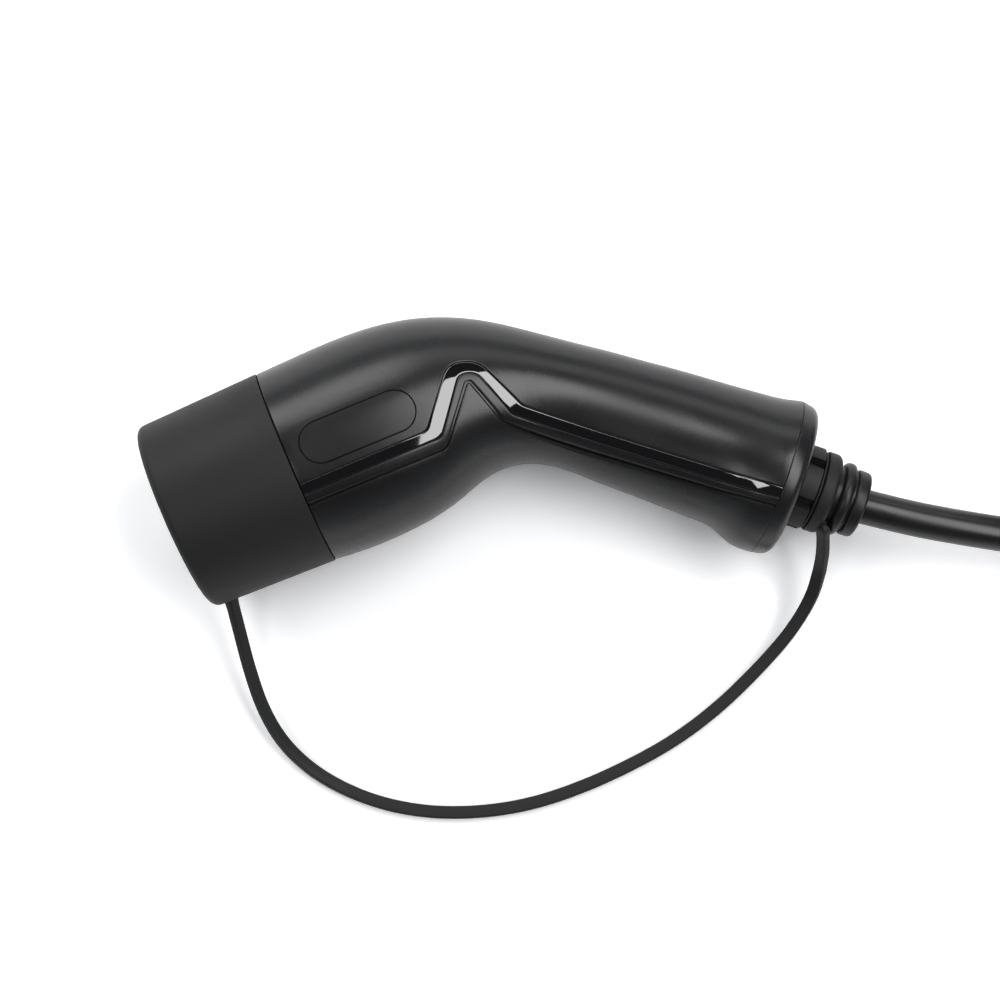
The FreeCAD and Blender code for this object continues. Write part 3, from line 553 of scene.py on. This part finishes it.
def rounded_rectangle(width, thick, radius):
    """Outline of a rectangle with rounded corners, as points round its middle."""
    corner = np.linspace(0, math.pi / 2, STRAP_ARC_POINTS)
    outline = []
    for quarter, (sx, sy) in enumerate([(1, 1), (-1, 1), (-1, -1), (1, -1)]):
        angle = corner + quarter * math.pi / 2
        x = sx * (width / 2 - radius) + radius * np.cos(angle)
        y = sy * (thick / 2 - radius) + radius * np.sin(angle)
        outline.append(np.stack([x, y], axis=-1))
    return np.concatenate(outline)


def sweep(line, outline, roll):
    """An outline carried along a line. Its first side lies level, across the line, and
    the roll, in radians, turns it about the line."""
    ahead = unit(np.gradient(line, axis=0))
    level = unit(np.cross(ahead, [0, 0, 1.0]))
    upward = np.cross(level, ahead)
    c, s = np.cos(roll)[:, None], np.sin(roll)[:, None]
    wide, thin = level * c + upward * s, upward * c - level * s
    across = outline[None, :, 0, None] * wide[:, None] + outline[None, :, 1, None] * thin[:, None]
    return line[:, None] + across


strap_route = np.concatenate([[strap_start], np.array(TETHER) * MM, [strap_end]])
strap_line = line_of(strap_route)
share = np.linspace(0, 1, len(strap_line))
strap_roll = np.radians(np.interp(share, *np.transpose(STRAP_ROLL)))
strap_section = rounded_rectangle(STRAP_WIDTH, STRAP_THICK, STRAP_ROUND) * MM
strap_grid = sweep(strap_line, strap_section, strap_roll)
strap = make_piece("tether_strap", [grid(capped(strap_grid), closed=True)], None)
replace(strap, "cap_tether")
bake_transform(strap)

# %% [markdown]
# ## The housing's skin
#
# The housing is two moulded half shells. Its shape is a row of ovals along a bent
# centreline, each with its own height on the outside and the inside of the bend and its
# own half width. A natural cubic spline through the rows gives the sizes in between, so
# the skin can be asked for a point anywhere: how far along, and how far round.
#
# The lines on the side are drawn in plan, as straight runs joined by arcs. Every line
# is given the same number of points on each run and arc, so that a strip between two of
# them is a plain grid.

# %% The skin as a function
SECTIONS = [
    # along, outside of the bend, inside of it, half width
    (0.0, FRONT_RADIUS, FRONT_RADIUS, FRONT_RADIUS),
    (12.0, 36.2, 36.9, 35.2),
    (30.0, 36.5, 36.8, 34.3),
    (42.0, 35.8, 35.6, 33.2),
    (55.0, 34.0, 32.6, 31.4),
    (70.0, 30.4, 26.5, 28.4),
    (85.0, 26.0, 22.3, 25.2),
    (100.0, 23.4, 21.6, 23.3),
    (115.0, 23.5, 22.6, 22.7),
    (135.0, 24.9, 23.2, 23.2),
    (155.0, 25.9, 24.0, 24.4),
    (165.0, 26.5, 25.2, 25.8),
    (171.5, 27.0, 28.0, 27.3),
    (HOUSING_LENGTH, REAR_RADIUS, REAR_RADIUS, REAR_RADIUS),
]


def natural_spline(rows):
    """A function for the smooth curve through rows of a place and values. Its second
    derivatives m solve h0 m0 + 2 (h0 + h1) m1 + h1 m2 = 6 (slope1 - slope0), and are 0
    at the ends."""
    knots, values = np.array(rows)[:, 0], np.array(rows)[:, 1:]
    h = np.diff(knots)
    slope = np.diff(values, axis=0) / h[:, None]
    inner = np.arange(1, len(knots) - 1)
    system = np.eye(len(knots))
    system[inner, inner - 1] = h[:-1]
    system[inner, inner] = 2 * (h[:-1] + h[1:])
    system[inner, inner + 1] = h[1:]
    right = np.zeros_like(values)
    right[1:-1] = 6 * np.diff(slope, axis=0)
    second = np.linalg.solve(system, right)

    def at(x):
        x = np.clip(x, knots[0], knots[-1])
        i = np.clip(np.searchsorted(knots, x) - 1, 0, len(h) - 1)
        step = h[i][..., None]
        a, b = (x - knots[i])[..., None], (knots[i + 1] - x)[..., None]
        cubic = (second[i] * b**3 + second[i + 1] * a**3) / (6 * step)
        cubic += (values[i] / step - second[i] * step / 6) * b
        return cubic + (values[i + 1] / step - second[i + 1] * step / 6) * a

    return at


sizes_at = natural_spline(SECTIONS)


def oval(along):
    """Height of the oval's middle, half its height and half its width."""
    outside, inside, half = np.moveaxis(sizes_at(np.asarray(along, float)), -1, 0)
    return (outside - inside) / 2, (outside + inside) / 2, half


def beside(along, height, aside=0.0):
    """Points at a height above the centreline and a distance to its side."""
    x, y, turned = centreline(along)
    x, y = x + height * np.sin(turned), y + height * np.cos(turned)
    return np.stack(np.broadcast_arrays(x, y, aside), axis=-1)


def skin(along, around, depth=0.0):
    """Points of the skin, or below it. Around is 0 on the outside of the bend and a
    quarter turn on the side that faces the camera."""
    middle, reach, half = oval(along)
    height = middle + (reach - depth) * np.cos(around)
    return beside(along, height, (half - depth) * np.sin(around))


def unrolled(plan):
    """Distance along the centreline, and height above it, of points seen in plan."""
    x, y = plan[..., 0], plan[..., 1]
    turned = np.clip(np.arctan2(x - NOSE_STRAIGHT, y + BEND_RADIUS), 0, BEND_ANGLE)
    from_x = x - NOSE_STRAIGHT - BEND_RADIUS * np.sin(turned)
    from_y = y + BEND_RADIUS * (1 - np.cos(turned))
    ahead = from_x * np.cos(turned) - from_y * np.sin(turned)
    height = from_x * np.sin(turned) + from_y * np.cos(turned)
    return NOSE_STRAIGHT + BEND_RADIUS * turned + ahead, height


def around_of(along, height, depth=0.0):
    """How far round the skin is at a height above the centreline."""
    middle, reach, _ = oval(along)
    return np.arccos(np.clip((height - middle) / (reach - depth), -1, 1))


def on_skin(plan, depth=0.0, side=1):
    """Points of the skin over points in plan, on the camera's side or the other."""
    along, height = unrolled(plan)
    return skin(along, side * around_of(along, height, depth), depth)


print("skin through", len(SECTIONS), "ovals, at the bend's end", oval(BEND_END))

# %% Lines on the side
PARTING = [(0.0, -17.5), (53.0, -16.6), (64.8, 4.2), (66.5, 4.5), (77.3, -9.8)], -12.4
RIB = [(0.0, -14.2), (52.3, -13.3), (63.2, 7.4), (68.9, 6.9), (80.6, -7.8)], -10.1
TRIM = [(0.0, -10.6), (47.5, -9.9), (60.3, 11.6), (69.5, 11.2), (84.1, -4.6)], -6.4
CORNER_ROUNDS = [4.0, 9.0, 9.0, 5.0]
RUN_POINTS = [18, 14, 4, 14, 46]
ARC_POINTS = 9
# The first and last rows of every grid: steps from the shells' ends and depths there.
EDGE_STEPS = np.array([0.0, 0.0, 0.06, 0.2, 0.45])
EDGE_DEPTHS = np.array([5.4, 0.45, 0.2, 0.05, 0.0])
REAR_DEPTH = 2.8
# Rows between the first run and the last one, with a few rows of both.
PEAK_ROWS = slice(len(EDGE_STEPS) + RUN_POINTS[0] - 4, -RUN_POINTS[-1] - 2)
FRONT_OVERRUN = 5.0
REAR_OVERRUN = 25.0
LARGEST_CUT = 0.45  # as a share of the shorter run beside a corner
HANDLE_AXIS = np.array([math.cos(BEND_ANGLE), -math.sin(BEND_ANGLE)])


def between(start, end, count):
    """Points of an evenly divided run without its two ends."""
    return start + np.linspace(0, 1, count)[1:-1, None] * (end - start)


def side_line(corners, rear_height):
    """A line in plan. Each corner is cut by an arc that touches both runs, and the
    runs are divided evenly. Both ends carry a few close points for a rounded edge. The
    corners are drawn past the housing at both ends, and the line is cut to its length."""
    points = [beside(along, height)[:2] for along, height in corners]
    points[0][0] = -FRONT_OVERRUN
    points.append(beside(HOUSING_LENGTH + REAR_OVERRUN, rear_height)[:2])
    points = np.array(points)
    first, last = points[1] - points[0], points[-1] - points[-2]
    front = points[0] + first * (FRONT_OVERRUN / (points[1][0] + FRONT_OVERRUN))
    corner_ahead = (points[-2] - beside(BEND_END, 0.0)[:2]) @ HANDLE_AXIS
    handle_left = HANDLE_STRAIGHT - corner_ahead
    rear = points[-2] + last * (handle_left / (handle_left + REAR_OVERRUN))
    front_edge = front + EDGE_STEPS[:, None] * unit(first)
    rear_edge = rear - EDGE_STEPS[::-1, None] * unit(last)
    line, start = [front_edge], front_edge[-1]
    for i in range(1, len(points) - 1):
        back, ahead = points[i - 1] - points[i], points[i + 1] - points[i]
        half_turn = (math.pi - math.acos(unit(back) @ unit(ahead))) / 2
        longest = LARGEST_CUT * min(np.linalg.norm(back), np.linalg.norm(ahead))
        cut = min(longest, CORNER_ROUNDS[i - 1] * math.tan(half_turn))
        arc = corner_arc(*points[i - 1 : i + 2], cut, ARC_POINTS)
        line += [between(start, arc[0], RUN_POINTS[i - 1]), arc]
        start = arc[-1]
    line += [between(start, rear_edge[0], RUN_POINTS[-1]), rear_edge]
    return np.concatenate(line)


parting_plan, rib_plan, trim_plan = (side_line(*line) for line in (PARTING, RIB, TRIM))
ROW_DEPTH = np.zeros(len(rib_plan))
ROW_DEPTH[: len(EDGE_DEPTHS)] = EDGE_DEPTHS
ROW_DEPTH[-len(EDGE_DEPTHS) :] = EDGE_DEPTHS[::-1]
ROW_DEPTH[-1] = REAR_DEPTH
print(len(rib_plan), "points on each side line")

# %% [markdown]
# ## Shells and trim
#
# The parting line is stepped: it rises to a peak in the bend, and a polished strip lies
# in a recess above it, held off the line by a narrow rib. On the real housing each of
# these edges has a small round from the mould, and those rounds catch the light. So the
# border of every grid is a short profile that turns inwards, given as pairs of distance
# from the line and depth below the skin.
#
# The marking panel on each side is only outlined by a fine groove. Its place is a patch:
# a rectangle is left out of the shell's grid, and a second grid runs from the edge of
# that rectangle to the pill shape, through the groove and on to the pill's middle.
# The screw holes underneath are made in the same way.

# %% Grids of one hand piece's shells
UPPER_EDGE = [(0.0, 1.6), (0.0, 0.5), (0.04, 0.26), (0.14, 0.09), (0.32, 0.01), (0.6, 0.0)]
STRIP_EDGE = [(0.1, 1.3), (0.1, 0.42), (0.15, 0.26), (0.28, 0.17), (0.5, 0.15)]
LOWER_EDGE = [(0.0, 1.8), (0.0, 0.9), (0.66, 0.9), (0.8, 0.76)]
LOWER_EDGE += [(0.8, 0.42), (0.86, 0.2), (1.0, 0.06), (1.3, 0.0)]
STRIP_SUNK = STRIP_EDGE[-1][1]
PANEL_MIDDLE = 25.7
PANEL_HALF_LENGTH = 21.0
PANEL_RADIUS = 7.6
PANEL_MARGIN = 0.15
PANEL_ROWS = (4.4, 47.0)
PANEL_LOW = -9.1
PANEL_HIGH = 9.4
PANEL_ABOVE_EDGE = 0.35
GROOVE = [(0.0, 0.0), (-0.05, 0.1), (-0.12, 0.4), (-0.25, 0.5)]
GROOVE += [(-0.38, 0.4), (-0.45, 0.1), (-0.5, 0.0)]
PANEL_SHARES = (0.94, 0.85, 0.75, 0.65, 0.55, 0.45, 0.35, 0.25, 0.15, 0.06, 0.0)
SCREWS = [(28.0, -24.0), (HOUSING_LENGTH - 37.7, -15.0)]
SCREW_HOLE = 3.1
SCREW_DEPTH = 2.6
HOLE_EDGE = [(0.32, 0.0), (0.22, 0.02), (0.1, 0.06), (0.0, 0.25), (0.0, SCREW_DEPTH)]
SCREW_ROOM = 4.2
SCREW_ROOM_ALONG = 5.0
SHELL_WALL = 1.2
STRIP_WALL = 0.6


def shifted(line, distance):
    """A line in plan moved sideways, up for a positive distance. The close points at
    its ends take their direction from the run beside them."""
    ahead = np.gradient(line, axis=0)
    close = len(EDGE_STEPS)
    ahead[:close], ahead[-close:] = ahead[close + 3], ahead[-close - 3]
    ahead = unit(ahead)
    return line + distance * np.stack([-ahead[:, 1], ahead[:, 0]], axis=-1)


def border(line, profile, direction, side):
    """Columns along a line, one for each pair of distance and depth in the profile."""
    columns = [
        on_skin(shifted(line, direction * distance), depth + ROW_DEPTH, side)
        for distance, depth in profile
    ]
    return np.stack(columns, axis=1)


def with_borders(line, profile, direction, inner):
    """Columns of a shell's skin between the borders of the line on its two sides."""
    left, right = (border(line, profile, direction, side) for side in (1, -1))
    return np.concatenate([left, np.stack(inner, axis=1), right[:, ::-1]], axis=1)


def band(low, high, profile, count, side, sunk=0.0):
    """A strip of the skin between two lines, with both borders turned inwards."""
    first, last = border(low, profile, 1, side), border(high, profile, -1, side)
    start, end = shifted(low, profile[-1][0]), shifted(high, -profile[-1][0])
    share = np.linspace(0, 1, count + 2)[1:-1]
    inner = [on_skin(start + (end - start) * s, sunk + ROW_DEPTH, side) for s in share]
    return np.concatenate([first, np.stack(inner, axis=1), last[:, ::-1]], axis=1)


def open_grid(points, holes, flip=False):
    """A grid with rectangles of faces left out, each as rows and columns from and to."""
    points_flat, quads = grid(points, flip=flip)
    rows, columns = points.shape[0] - 1, points.shape[1] - 1
    keep = np.ones((rows, columns), bool)
    for row_from, row_to, column_from, column_to in holes:
        keep[row_from:row_to, column_from:column_to] = False
    return points_flat, quads[keep.ravel()]


def hole_rim(values, hole):
    """The values at the edge of a rectangle of a grid, as one closed row."""
    a, b, c, d = hole
    return np.concatenate([values[a:b, c], values[b, c:d], values[b:a:-1, d], values[a, d:c:-1]])


def rows_inwards(middle, edge, start, shares, radius, profile):
    """Rows of places and depths from a rectangle's rim to a start, by shares of the way,
    and on along a profile at the radius round the middle. Also the rim's directions."""
    size = np.linalg.norm(edge - middle, axis=1, keepdims=True)
    away = unit(edge - middle)
    rows = [(middle + away * (size + (start - size) * share), 0.0) for share in shares]
    return rows + [(middle + away * (radius + near), depth) for near, depth in profile], away


def panel_patch(edge, side):
    """The marking panel: from the edge of its rectangle to the pill's outline, down
    and up through the groove, and then, shrinking evenly, on to the pill's middle."""
    reach = PANEL_HALF_LENGTH - PANEL_RADIUS
    x = PANEL_MIDDLE + np.clip(edge[:, 0] - PANEL_MIDDLE, -reach, reach)
    middle = np.stack([x, np.zeros_like(x)], axis=-1)
    start = PANEL_RADIUS + PANEL_MARGIN
    rows, away = rows_inwards(middle, edge, start, (0.0, 0.35, 0.7), PANEL_RADIUS, GROOVE)
    centre = np.array([PANEL_MIDDLE, 0.0])
    inner = middle + away * (PANEL_RADIUS + GROOVE[-1][0]) - centre
    rows += [(centre + inner * share, 0.0) for share in PANEL_SHARES]
    return np.stack([on_skin(plan, depth, side) for plan, depth in rows])


def screw_patch(edge, screw):
    """A screw's sunk hole in the underside, from the edge of its rectangle inwards.
    The edge is given as distances along the housing and to its side."""
    centre = np.array(screw)
    start = SCREW_HOLE + HOLE_EDGE[0][0]
    rows, away = rows_inwards(centre, edge, start, (0.0, 0.5), SCREW_HOLE, HOLE_EDGE)
    rows.append((centre + away * 0.0, SCREW_DEPTH))
    layers = []
    for place, depth in rows:
        middle, reach, half = oval(place[:, 0])
        height = middle - reach * np.sqrt(1 - (place[:, 1] / half) ** 2) + depth
        layers.append(beside(place[:, 0], height, place[:, 1]))
    return np.stack(layers)


print("edges with", len(UPPER_EDGE), len(STRIP_EDGE), len(LOWER_EDGE), "steps")

# %% The grids themselves
RIB_COLUMNS = 4
STRIP_COLUMNS = 7
PANEL_COLUMNS = 11
TOP_COLUMNS = 18
UNDER_COLUMNS = 48
SPREAD_OVER = 12  # columns over which the rows of the lower shell become even


def upper_shell():
    """Main skin from one trim line over the top to the other, the panels and ribs."""
    along, height = unrolled(shifted(trim_plan, UPPER_EDGE[-1][0]))
    low = np.maximum(PANEL_LOW, height + PANEL_ABOVE_EDGE)
    high = low + PANEL_HIGH - PANEL_LOW
    turn_edge, turn_low, turn_high = (around_of(along, h) for h in (height, low, high))
    turns = [turn_edge + (turn_low - turn_edge) * 0.5]
    first = len(UPPER_EDGE) + len(turns)
    turns += [turn_low + (turn_high - turn_low) * s for s in np.linspace(0, 1, PANEL_COLUMNS)]
    last = first + PANEL_COLUMNS - 1
    turns += [turn_high * (1 - s) for s in np.linspace(0, 1, TOP_COLUMNS)[1:]]
    turns += [-turn for turn in turns[-2::-1]]
    top = [skin(along, turn, ROW_DEPTH) for turn in turns]
    points = with_borders(trim_plan, UPPER_EDGE, 1, top)
    rows = np.searchsorted(along, PANEL_ROWS) - [1, 0]
    count = points.shape[1] - 1
    holes = [(*rows, first, last), (*rows, count - last, count - first)]
    made = [open_grid(points, holes)]
    for hole, side in zip(holes, (1, -1)):
        edge = hole_rim(points, hole)
        patch = panel_patch(edge[:, :2], side)
        patch[0] = edge
        made.append(grid(patch, closed=True, flip=True))
    for side in (1, -1):
        rib = band(parting_plan, rib_plan, UPPER_EDGE[:-1], RIB_COLUMNS, side)
        made.append(grid(rib, flip=side < 0))
    return made


def trim_strip(side):
    """Polished strip in the recess between rib and shell, a little below both."""
    strip = band(rib_plan, trim_plan, STRIP_EDGE, STRIP_COLUMNS, side, STRIP_SUNK)
    return [grid(strip, flip=side < 0)]


def lower_shell():
    """From one parting line round the underside to the other, with two screw holes.
    Under the peak the rows would crowd together, so away from the lines they spread."""
    along, height = unrolled(shifted(parting_plan, -LOWER_EDGE[-1][0]))
    turn_edge = around_of(along, height)
    shares = np.linspace(0, 1, UNDER_COLUMNS + 2)[1:-1]
    turns = [turn_edge + (2 * math.pi - 2 * turn_edge) * share for share in shares]
    along = np.maximum.accumulate(along)
    even = along.copy()
    even[PEAK_ROWS] = np.linspace(along[PEAK_ROWS][0], along[PEAK_ROWS][-1], len(even[PEAK_ROWS]))
    column = np.arange(1, UNDER_COLUMNS + 1)
    mixed = np.minimum(np.minimum(column, UNDER_COLUMNS + 1 - column) / SPREAD_OVER, 1)
    mixed = mixed**2 * (3 - 2 * mixed)
    under = [skin(along + (even - along) * m, turn, ROW_DEPTH) for m, turn in zip(mixed, turns)]
    points = with_borders(parting_plan, LOWER_EDGE, -1, under)
    first = len(LOWER_EDGE)
    flat = np.stack([unrolled(points[..., :2])[0], points[..., 2]], axis=-1)
    holes, patches = [], []
    for screw in SCREWS:
        room = screw[0] - SCREW_ROOM_ALONG, screw[0] + SCREW_ROOM_ALONG
        start, end = np.searchsorted(along, room)
        asides = flat[(start + end) // 2, first:-first, 1]
        near = np.flatnonzero(np.abs(asides - screw[1]) < SCREW_ROOM) + first
        hole = (start - 1, end, near[0] - 1, near[-1] + 1)
        patch = screw_patch(hole_rim(flat, hole), screw)
        patch[0] = hole_rim(points, hole)
        holes.append(hole)
        patches.append(grid(patch, closed=True))
    return [open_grid(points, holes, flip=True)] + patches


def placed(hand, made):
    """The grids moved to where the hand piece lies."""
    return [(hand(points), quads) for points, quads in made]


for hand, prefix in HANDS:
    upper = make_piece(prefix + "housing_top", placed(hand, upper_shell()))
    lower = make_piece(prefix + "housing_bottom", placed(hand, lower_shell()))
    replace(give_wall(upper, SHELL_WALL), prefix + "upper_shell")
    replace(give_wall(lower, SHELL_WALL), prefix + "lower_shell")
    for name, side in (("left", 1), ("right", -1)):
        strip = make_piece(prefix + "strip_" + name, placed(hand, trim_strip(side)))
        replace(give_wall(strip, STRIP_WALL), prefix + "trim_strip_" + name)

# %% [markdown]
# ## Turned pieces
#
# The cap, the ring that closes the handle, the loop of the strap and the bend sleeve are
# round, so each is one profile turned about its axis. A profile is a list of corners, as
# distance along the axis and radius, and a corner with a cut becomes an arc that touches
# both of its runs. Those arcs are the soft edges of moulded rubber and plastic, and the
# narrow highlights on the sleeve come from them. The strap's two roots carry its end
# section on into the cap and into the loop.

# %% Profiles and turning
SEGMENTS = 128
ROUND_STEPS = 7
CAP_LENGTH = 46.6
CAP_FRONT_RADIUS = 34.5
CAP_WALL = 2.6
CAP_FLOOR = 3.2
CAP_BOSS_ROOT = (-40.54, -30.70, -12.18)
SLEEVE_BORE = 6.45
SLEEVE_NECK = 11.8
FRONT_GROOVE = 11.2
SLEEVE_BEAD = 13.4
SLEEVE_GROOVE = 10.9
SLEEVE_END = 12.2
SLEEVE_TAPER = 0.2
BEAD_START, BEAD_END, COLLAR_START = 1.5, 5.8, 6.7
RING_HOLE = 11.2
RING_TAPER = 1.2
RING_FLANGE = 4.0
RING_FLOOR = 3.0
LOOP_RADIUS = 14.8
LOOP_ROOM = 0.3
BOSS_SWELL = 1.4
TAIL_SWELL = 1.3
ROOT_ROWS = 17
ROOT_DOME = 0.98  # just under 1, so that the last row isn't a point yet


def profile(corners, cuts):
    """A closed profile with an arc at each corner whose number has a cut."""
    corners = np.array(corners, float)
    line = []
    for i, corner in enumerate(corners):
        if i in cuts:
            after = corners[(i + 1) % len(corners)]
            line.append(corner_arc(corners[i - 1], corner, after, cuts[i], ROUND_STEPS))
        else:
            line.append(corner[None])
    return np.concatenate(line)


def turned_piece(line):
    """A profile turned about the X axis: x stays, and the radius becomes its cosine
    and sine in the two other directions."""
    angle = np.linspace(0, 2 * math.pi, SEGMENTS, endpoint=False)
    x = np.broadcast_to(line[:, :1], (len(line), SEGMENTS))
    return np.stack([x, line[:, 1:] * np.cos(angle), line[:, 1:] * np.sin(angle)], axis=-1)


def root_of_strap(section, centre, root, swell, flip=False):
    """The strap's end section, carried on to the piece that it grows from. It swells
    with the square of the way, so that it leaves the strap without a step, and its
    second half closes like a dome inside that piece."""
    share = np.linspace(0, 1, ROOT_ROWS)[:, None, None]
    dome = np.sqrt(1 - ROOT_DOME * np.clip(2 * share - 1, 0, 1) ** 2)
    size = (1 + (swell - 1) * share**2) * dome
    middle = centre + (root - centre) * share
    return grid(capped(middle + (section - centre) * size), closed=True, flip=flip)


print("round pieces:", SEGMENTS, "segments")

# %% Cap
front, inside = -CAP_LENGTH, -CAP_LENGTH + CAP_FLOOR
cap_corners = [(front, 0.0), (front, CAP_FRONT_RADIUS), (-CAP_GAP, CAP_RIM_RADIUS)]
cap_corners += [(-CAP_GAP, CAP_RIM_RADIUS - CAP_WALL)]
cap_corners += [(inside, CAP_FRONT_RADIUS - CAP_WALL), (inside, 0.0)]
cap_line = profile(cap_corners, {1: 3.0, 2: 0.45, 3: 0.4, 4: 2.0})
cap_grid = grid(VEHICLE(turned_piece(cap_line)), closed=True, flip=True)
boss_root = VEHICLE(CAP_BOSS_ROOT)
boss_grid = root_of_strap(strap_grid[0], strap_start, boss_root, BOSS_SWELL, flip=True)
cap = make_piece("nose_cap", [cap_grid, boss_grid], "cap")
replace(cap, "vehicle_cap")

# %% Ring, loop and sleeve
def ring_line():
    """The rear ring: a short step over the shells' ends and a well rounded rear edge."""
    hollow, floor = REAR_RADIUS - RING_FLANGE, RING_LENGTH - RING_FLOOR
    corners = [(0.0, hollow), (0.0, REAR_RADIUS), (RING_LENGTH, REAR_RADIUS - RING_TAPER)]
    corners += [(RING_LENGTH, RING_HOLE), (floor, RING_HOLE), (floor, hollow)]
    return profile(corners, {1: 0.4, 2: 3.0, 3: 0.3})


def loop_line():
    """The loop of the strap: flat in front and sloping off towards the sleeve."""
    start = GLAND_END + TETHER_GAP
    end = start + TETHER_RING
    inner, outer = SLEEVE_NECK + LOOP_ROOM, LOOP_RADIUS
    return profile([(start, inner), (start, outer), (end, outer), (end, inner)], {1: 0.6, 2: 2.2})


def sleeve_line(hand):
    """The bend sleeve: a neck, a round bead between two grooves, and an end collar."""
    start, neck = GLAND_END, NECK_END[hand]
    corners = [(start, SLEEVE_BORE)]
    if neck > start:
        corners += [(start, SLEEVE_NECK), (neck, SLEEVE_NECK)]
    count = len(corners)
    corners += [
        (neck, FRONT_GROOVE),
        (neck + BEAD_START, FRONT_GROOVE),
        (neck + BEAD_START, SLEEVE_BEAD),
        (neck + BEAD_END, SLEEVE_BEAD),
        (neck + BEAD_END, SLEEVE_GROOVE),
        (neck + COLLAR_START, SLEEVE_GROOVE),
        (neck + COLLAR_START, SLEEVE_END),
        (neck + SLEEVE_LENGTH, SLEEVE_END - SLEEVE_TAPER),
        (neck + SLEEVE_LENGTH, SLEEVE_BORE),
    ]
    cuts = {2: 1.9, 3: 1.9, 6: 0.9, 7: 1.2, 8: 0.5}
    return profile(corners, {count + i: cut for i, cut in cuts.items()})


def round_grid(hand, line):
    """A turned piece behind the ring of a hand piece, as one closed grid."""
    line = np.concatenate([line, line[:1]])
    points = behind_ring(*np.moveaxis(turned_piece(line), -1, 0))
    return grid(hand(points), closed=True, flip=True)


for hand, prefix in HANDS:
    ring = make_piece(prefix + "end_ring", [round_grid(hand, ring_line())])
    sleeve = make_piece(prefix + "sleeve", [round_grid(hand, sleeve_line(hand))])
    replace(ring, prefix + "rear_ring")
    replace(sleeve, prefix + "bend_sleeve")
tail_root = VEHICLE(behind_ring(GLAND_END + TAIL_ROOT[0], *TAIL_ROOT[1:]))
tail_grid = root_of_strap(strap_grid[-1], strap_end, tail_root, TAIL_SWELL)
loop = make_piece("strap_loop", [round_grid(VEHICLE, loop_line()), tail_grid])
replace(loop, "vehicle_tether_ring")

# %% [markdown]
# ## Floor and light
#
# The picture is a studio shot on white. A large soft box hangs to the right of the
# camera and a small one to its left, with a dark gap between them: the gap keeps the top
# faces black, and the edges of the boxes show as long soft highlights. Their places were
# found by following the reflections on the gloss trim back from the camera. Two boxes
# lean over the object from behind and light its far flank. A wide fill, which no surface
# mirrors, softens the shadow. The room is lighter at the walls than overhead. The floor
# looks white to the camera, and keeps the shadow.

# %% Lamps, world and floor
WALL_LIGHT, CEILING_LIGHT, CEILING_STARTS = 0.5, 0.05, 0.5
WHITE = (1, 1, 1, 1)
ROOM_COLOUR = (0.9, 0.95, 1, 1)
FLOOR_SIZE = 4.0
FLOOR_DROP = 0.0004
FLOOR_SHOWN = (1.28, 1.28, 1.29, 1)
FLOOR_PLAIN = (0.85, 0.85, 0.86, 1)


def soft_box(name, middle, size, radiance, lean=0.0, turn=0.0):
    """A rectangular lamp that faces down, or leans and then turns by angles in degrees.
    Its power follows from radiance and area."""
    lamp = bpy.data.lights.new(name, "AREA")
    lamp.shape = "RECTANGLE"
    lamp.size, lamp.size_y = size
    lamp.energy = radiance * math.pi * size[0] * size[1]
    holder = new_object(name, lamp)
    holder.location = middle
    holder.rotation_euler = (math.radians(lean), 0, math.radians(turn))
    holder.visible_camera = False
    return holder


def seen_by_camera(tree, plain, shown, output):
    """The shown shader for rays from the camera, and the plain one for all others."""
    path = add_node(tree, "LightPath")
    choose = add_node(tree, "MixShader", Fac=path.outputs["Is Camera Ray"])
    tree.links.new(plain.outputs[0], choose.inputs[1])
    tree.links.new(shown.outputs[0], choose.inputs[2])
    tree.links.new(choose.outputs[0], add_node(tree, output).inputs[0])


soft_box("right_box", (0.715, -0.19, 1.2), (0.71, 1.42), 5.2, turn=6)
soft_box("left_box", (-0.49, -0.11, 1.2), (0.38, 0.3), 5.0)
soft_box("back_box", (-0.3, 1.3, 0.95), (1.6, 0.7), 3.8, lean=-58)
soft_box("side_box", (1.45, 1.6, 1.05), (1.5, 0.7), 1.4, lean=-64, turn=-42)
soft_box("fill", (-0.9, 0.9, 1.4), (1.6, 1.6), 1.6).visible_glossy = False

world = bpy.data.worlds.new("studio")
bpy.context.scene.world = world
world.use_nodes = True
tree = world.node_tree
tree.nodes.clear()
shown = add_node(tree, "Background", Color=WHITE)
where = add_node(tree, "TexCoord").outputs["Generated"]
up = add_node(tree, "SeparateXYZ", Vector=where).outputs["Z"]
strength = spread(tree, up, WALL_LIGHT, CEILING_LIGHT, 0.0, CEILING_STARTS)
room = add_node(tree, "Background", Color=ROOM_COLOUR, Strength=strength)
seen_by_camera(tree, room, shown, "OutputWorld")

floor_mesh = bpy.data.meshes.new("floor")
corners = np.array([(-1, -1), (1, -1), (1, 1), (-1, 1)]) * FLOOR_SIZE / 2
floor_points = np.column_stack([corners, np.full(4, -FLOOR_DROP)])
floor_mesh.from_pydata(floor_points, [], [(0, 1, 2, 3)])
floor = new_object("floor", floor_mesh)

floor_finish = bpy.data.materials.new("floor_white")
floor_finish.use_nodes = True
tree = floor_finish.node_tree
tree.nodes.clear()
shown = add_node(tree, "BsdfDiffuse", Color=FLOOR_SHOWN)
plain = add_node(tree, "BsdfDiffuse", Color=FLOOR_PLAIN)
seen_by_camera(tree, plain, shown, "OutputMaterial")
floor_mesh.materials.append(floor_finish)
bpy.context.scene.view_settings.view_transform = "Standard"
print("floor and", len(bpy.data.lights), "lamps")
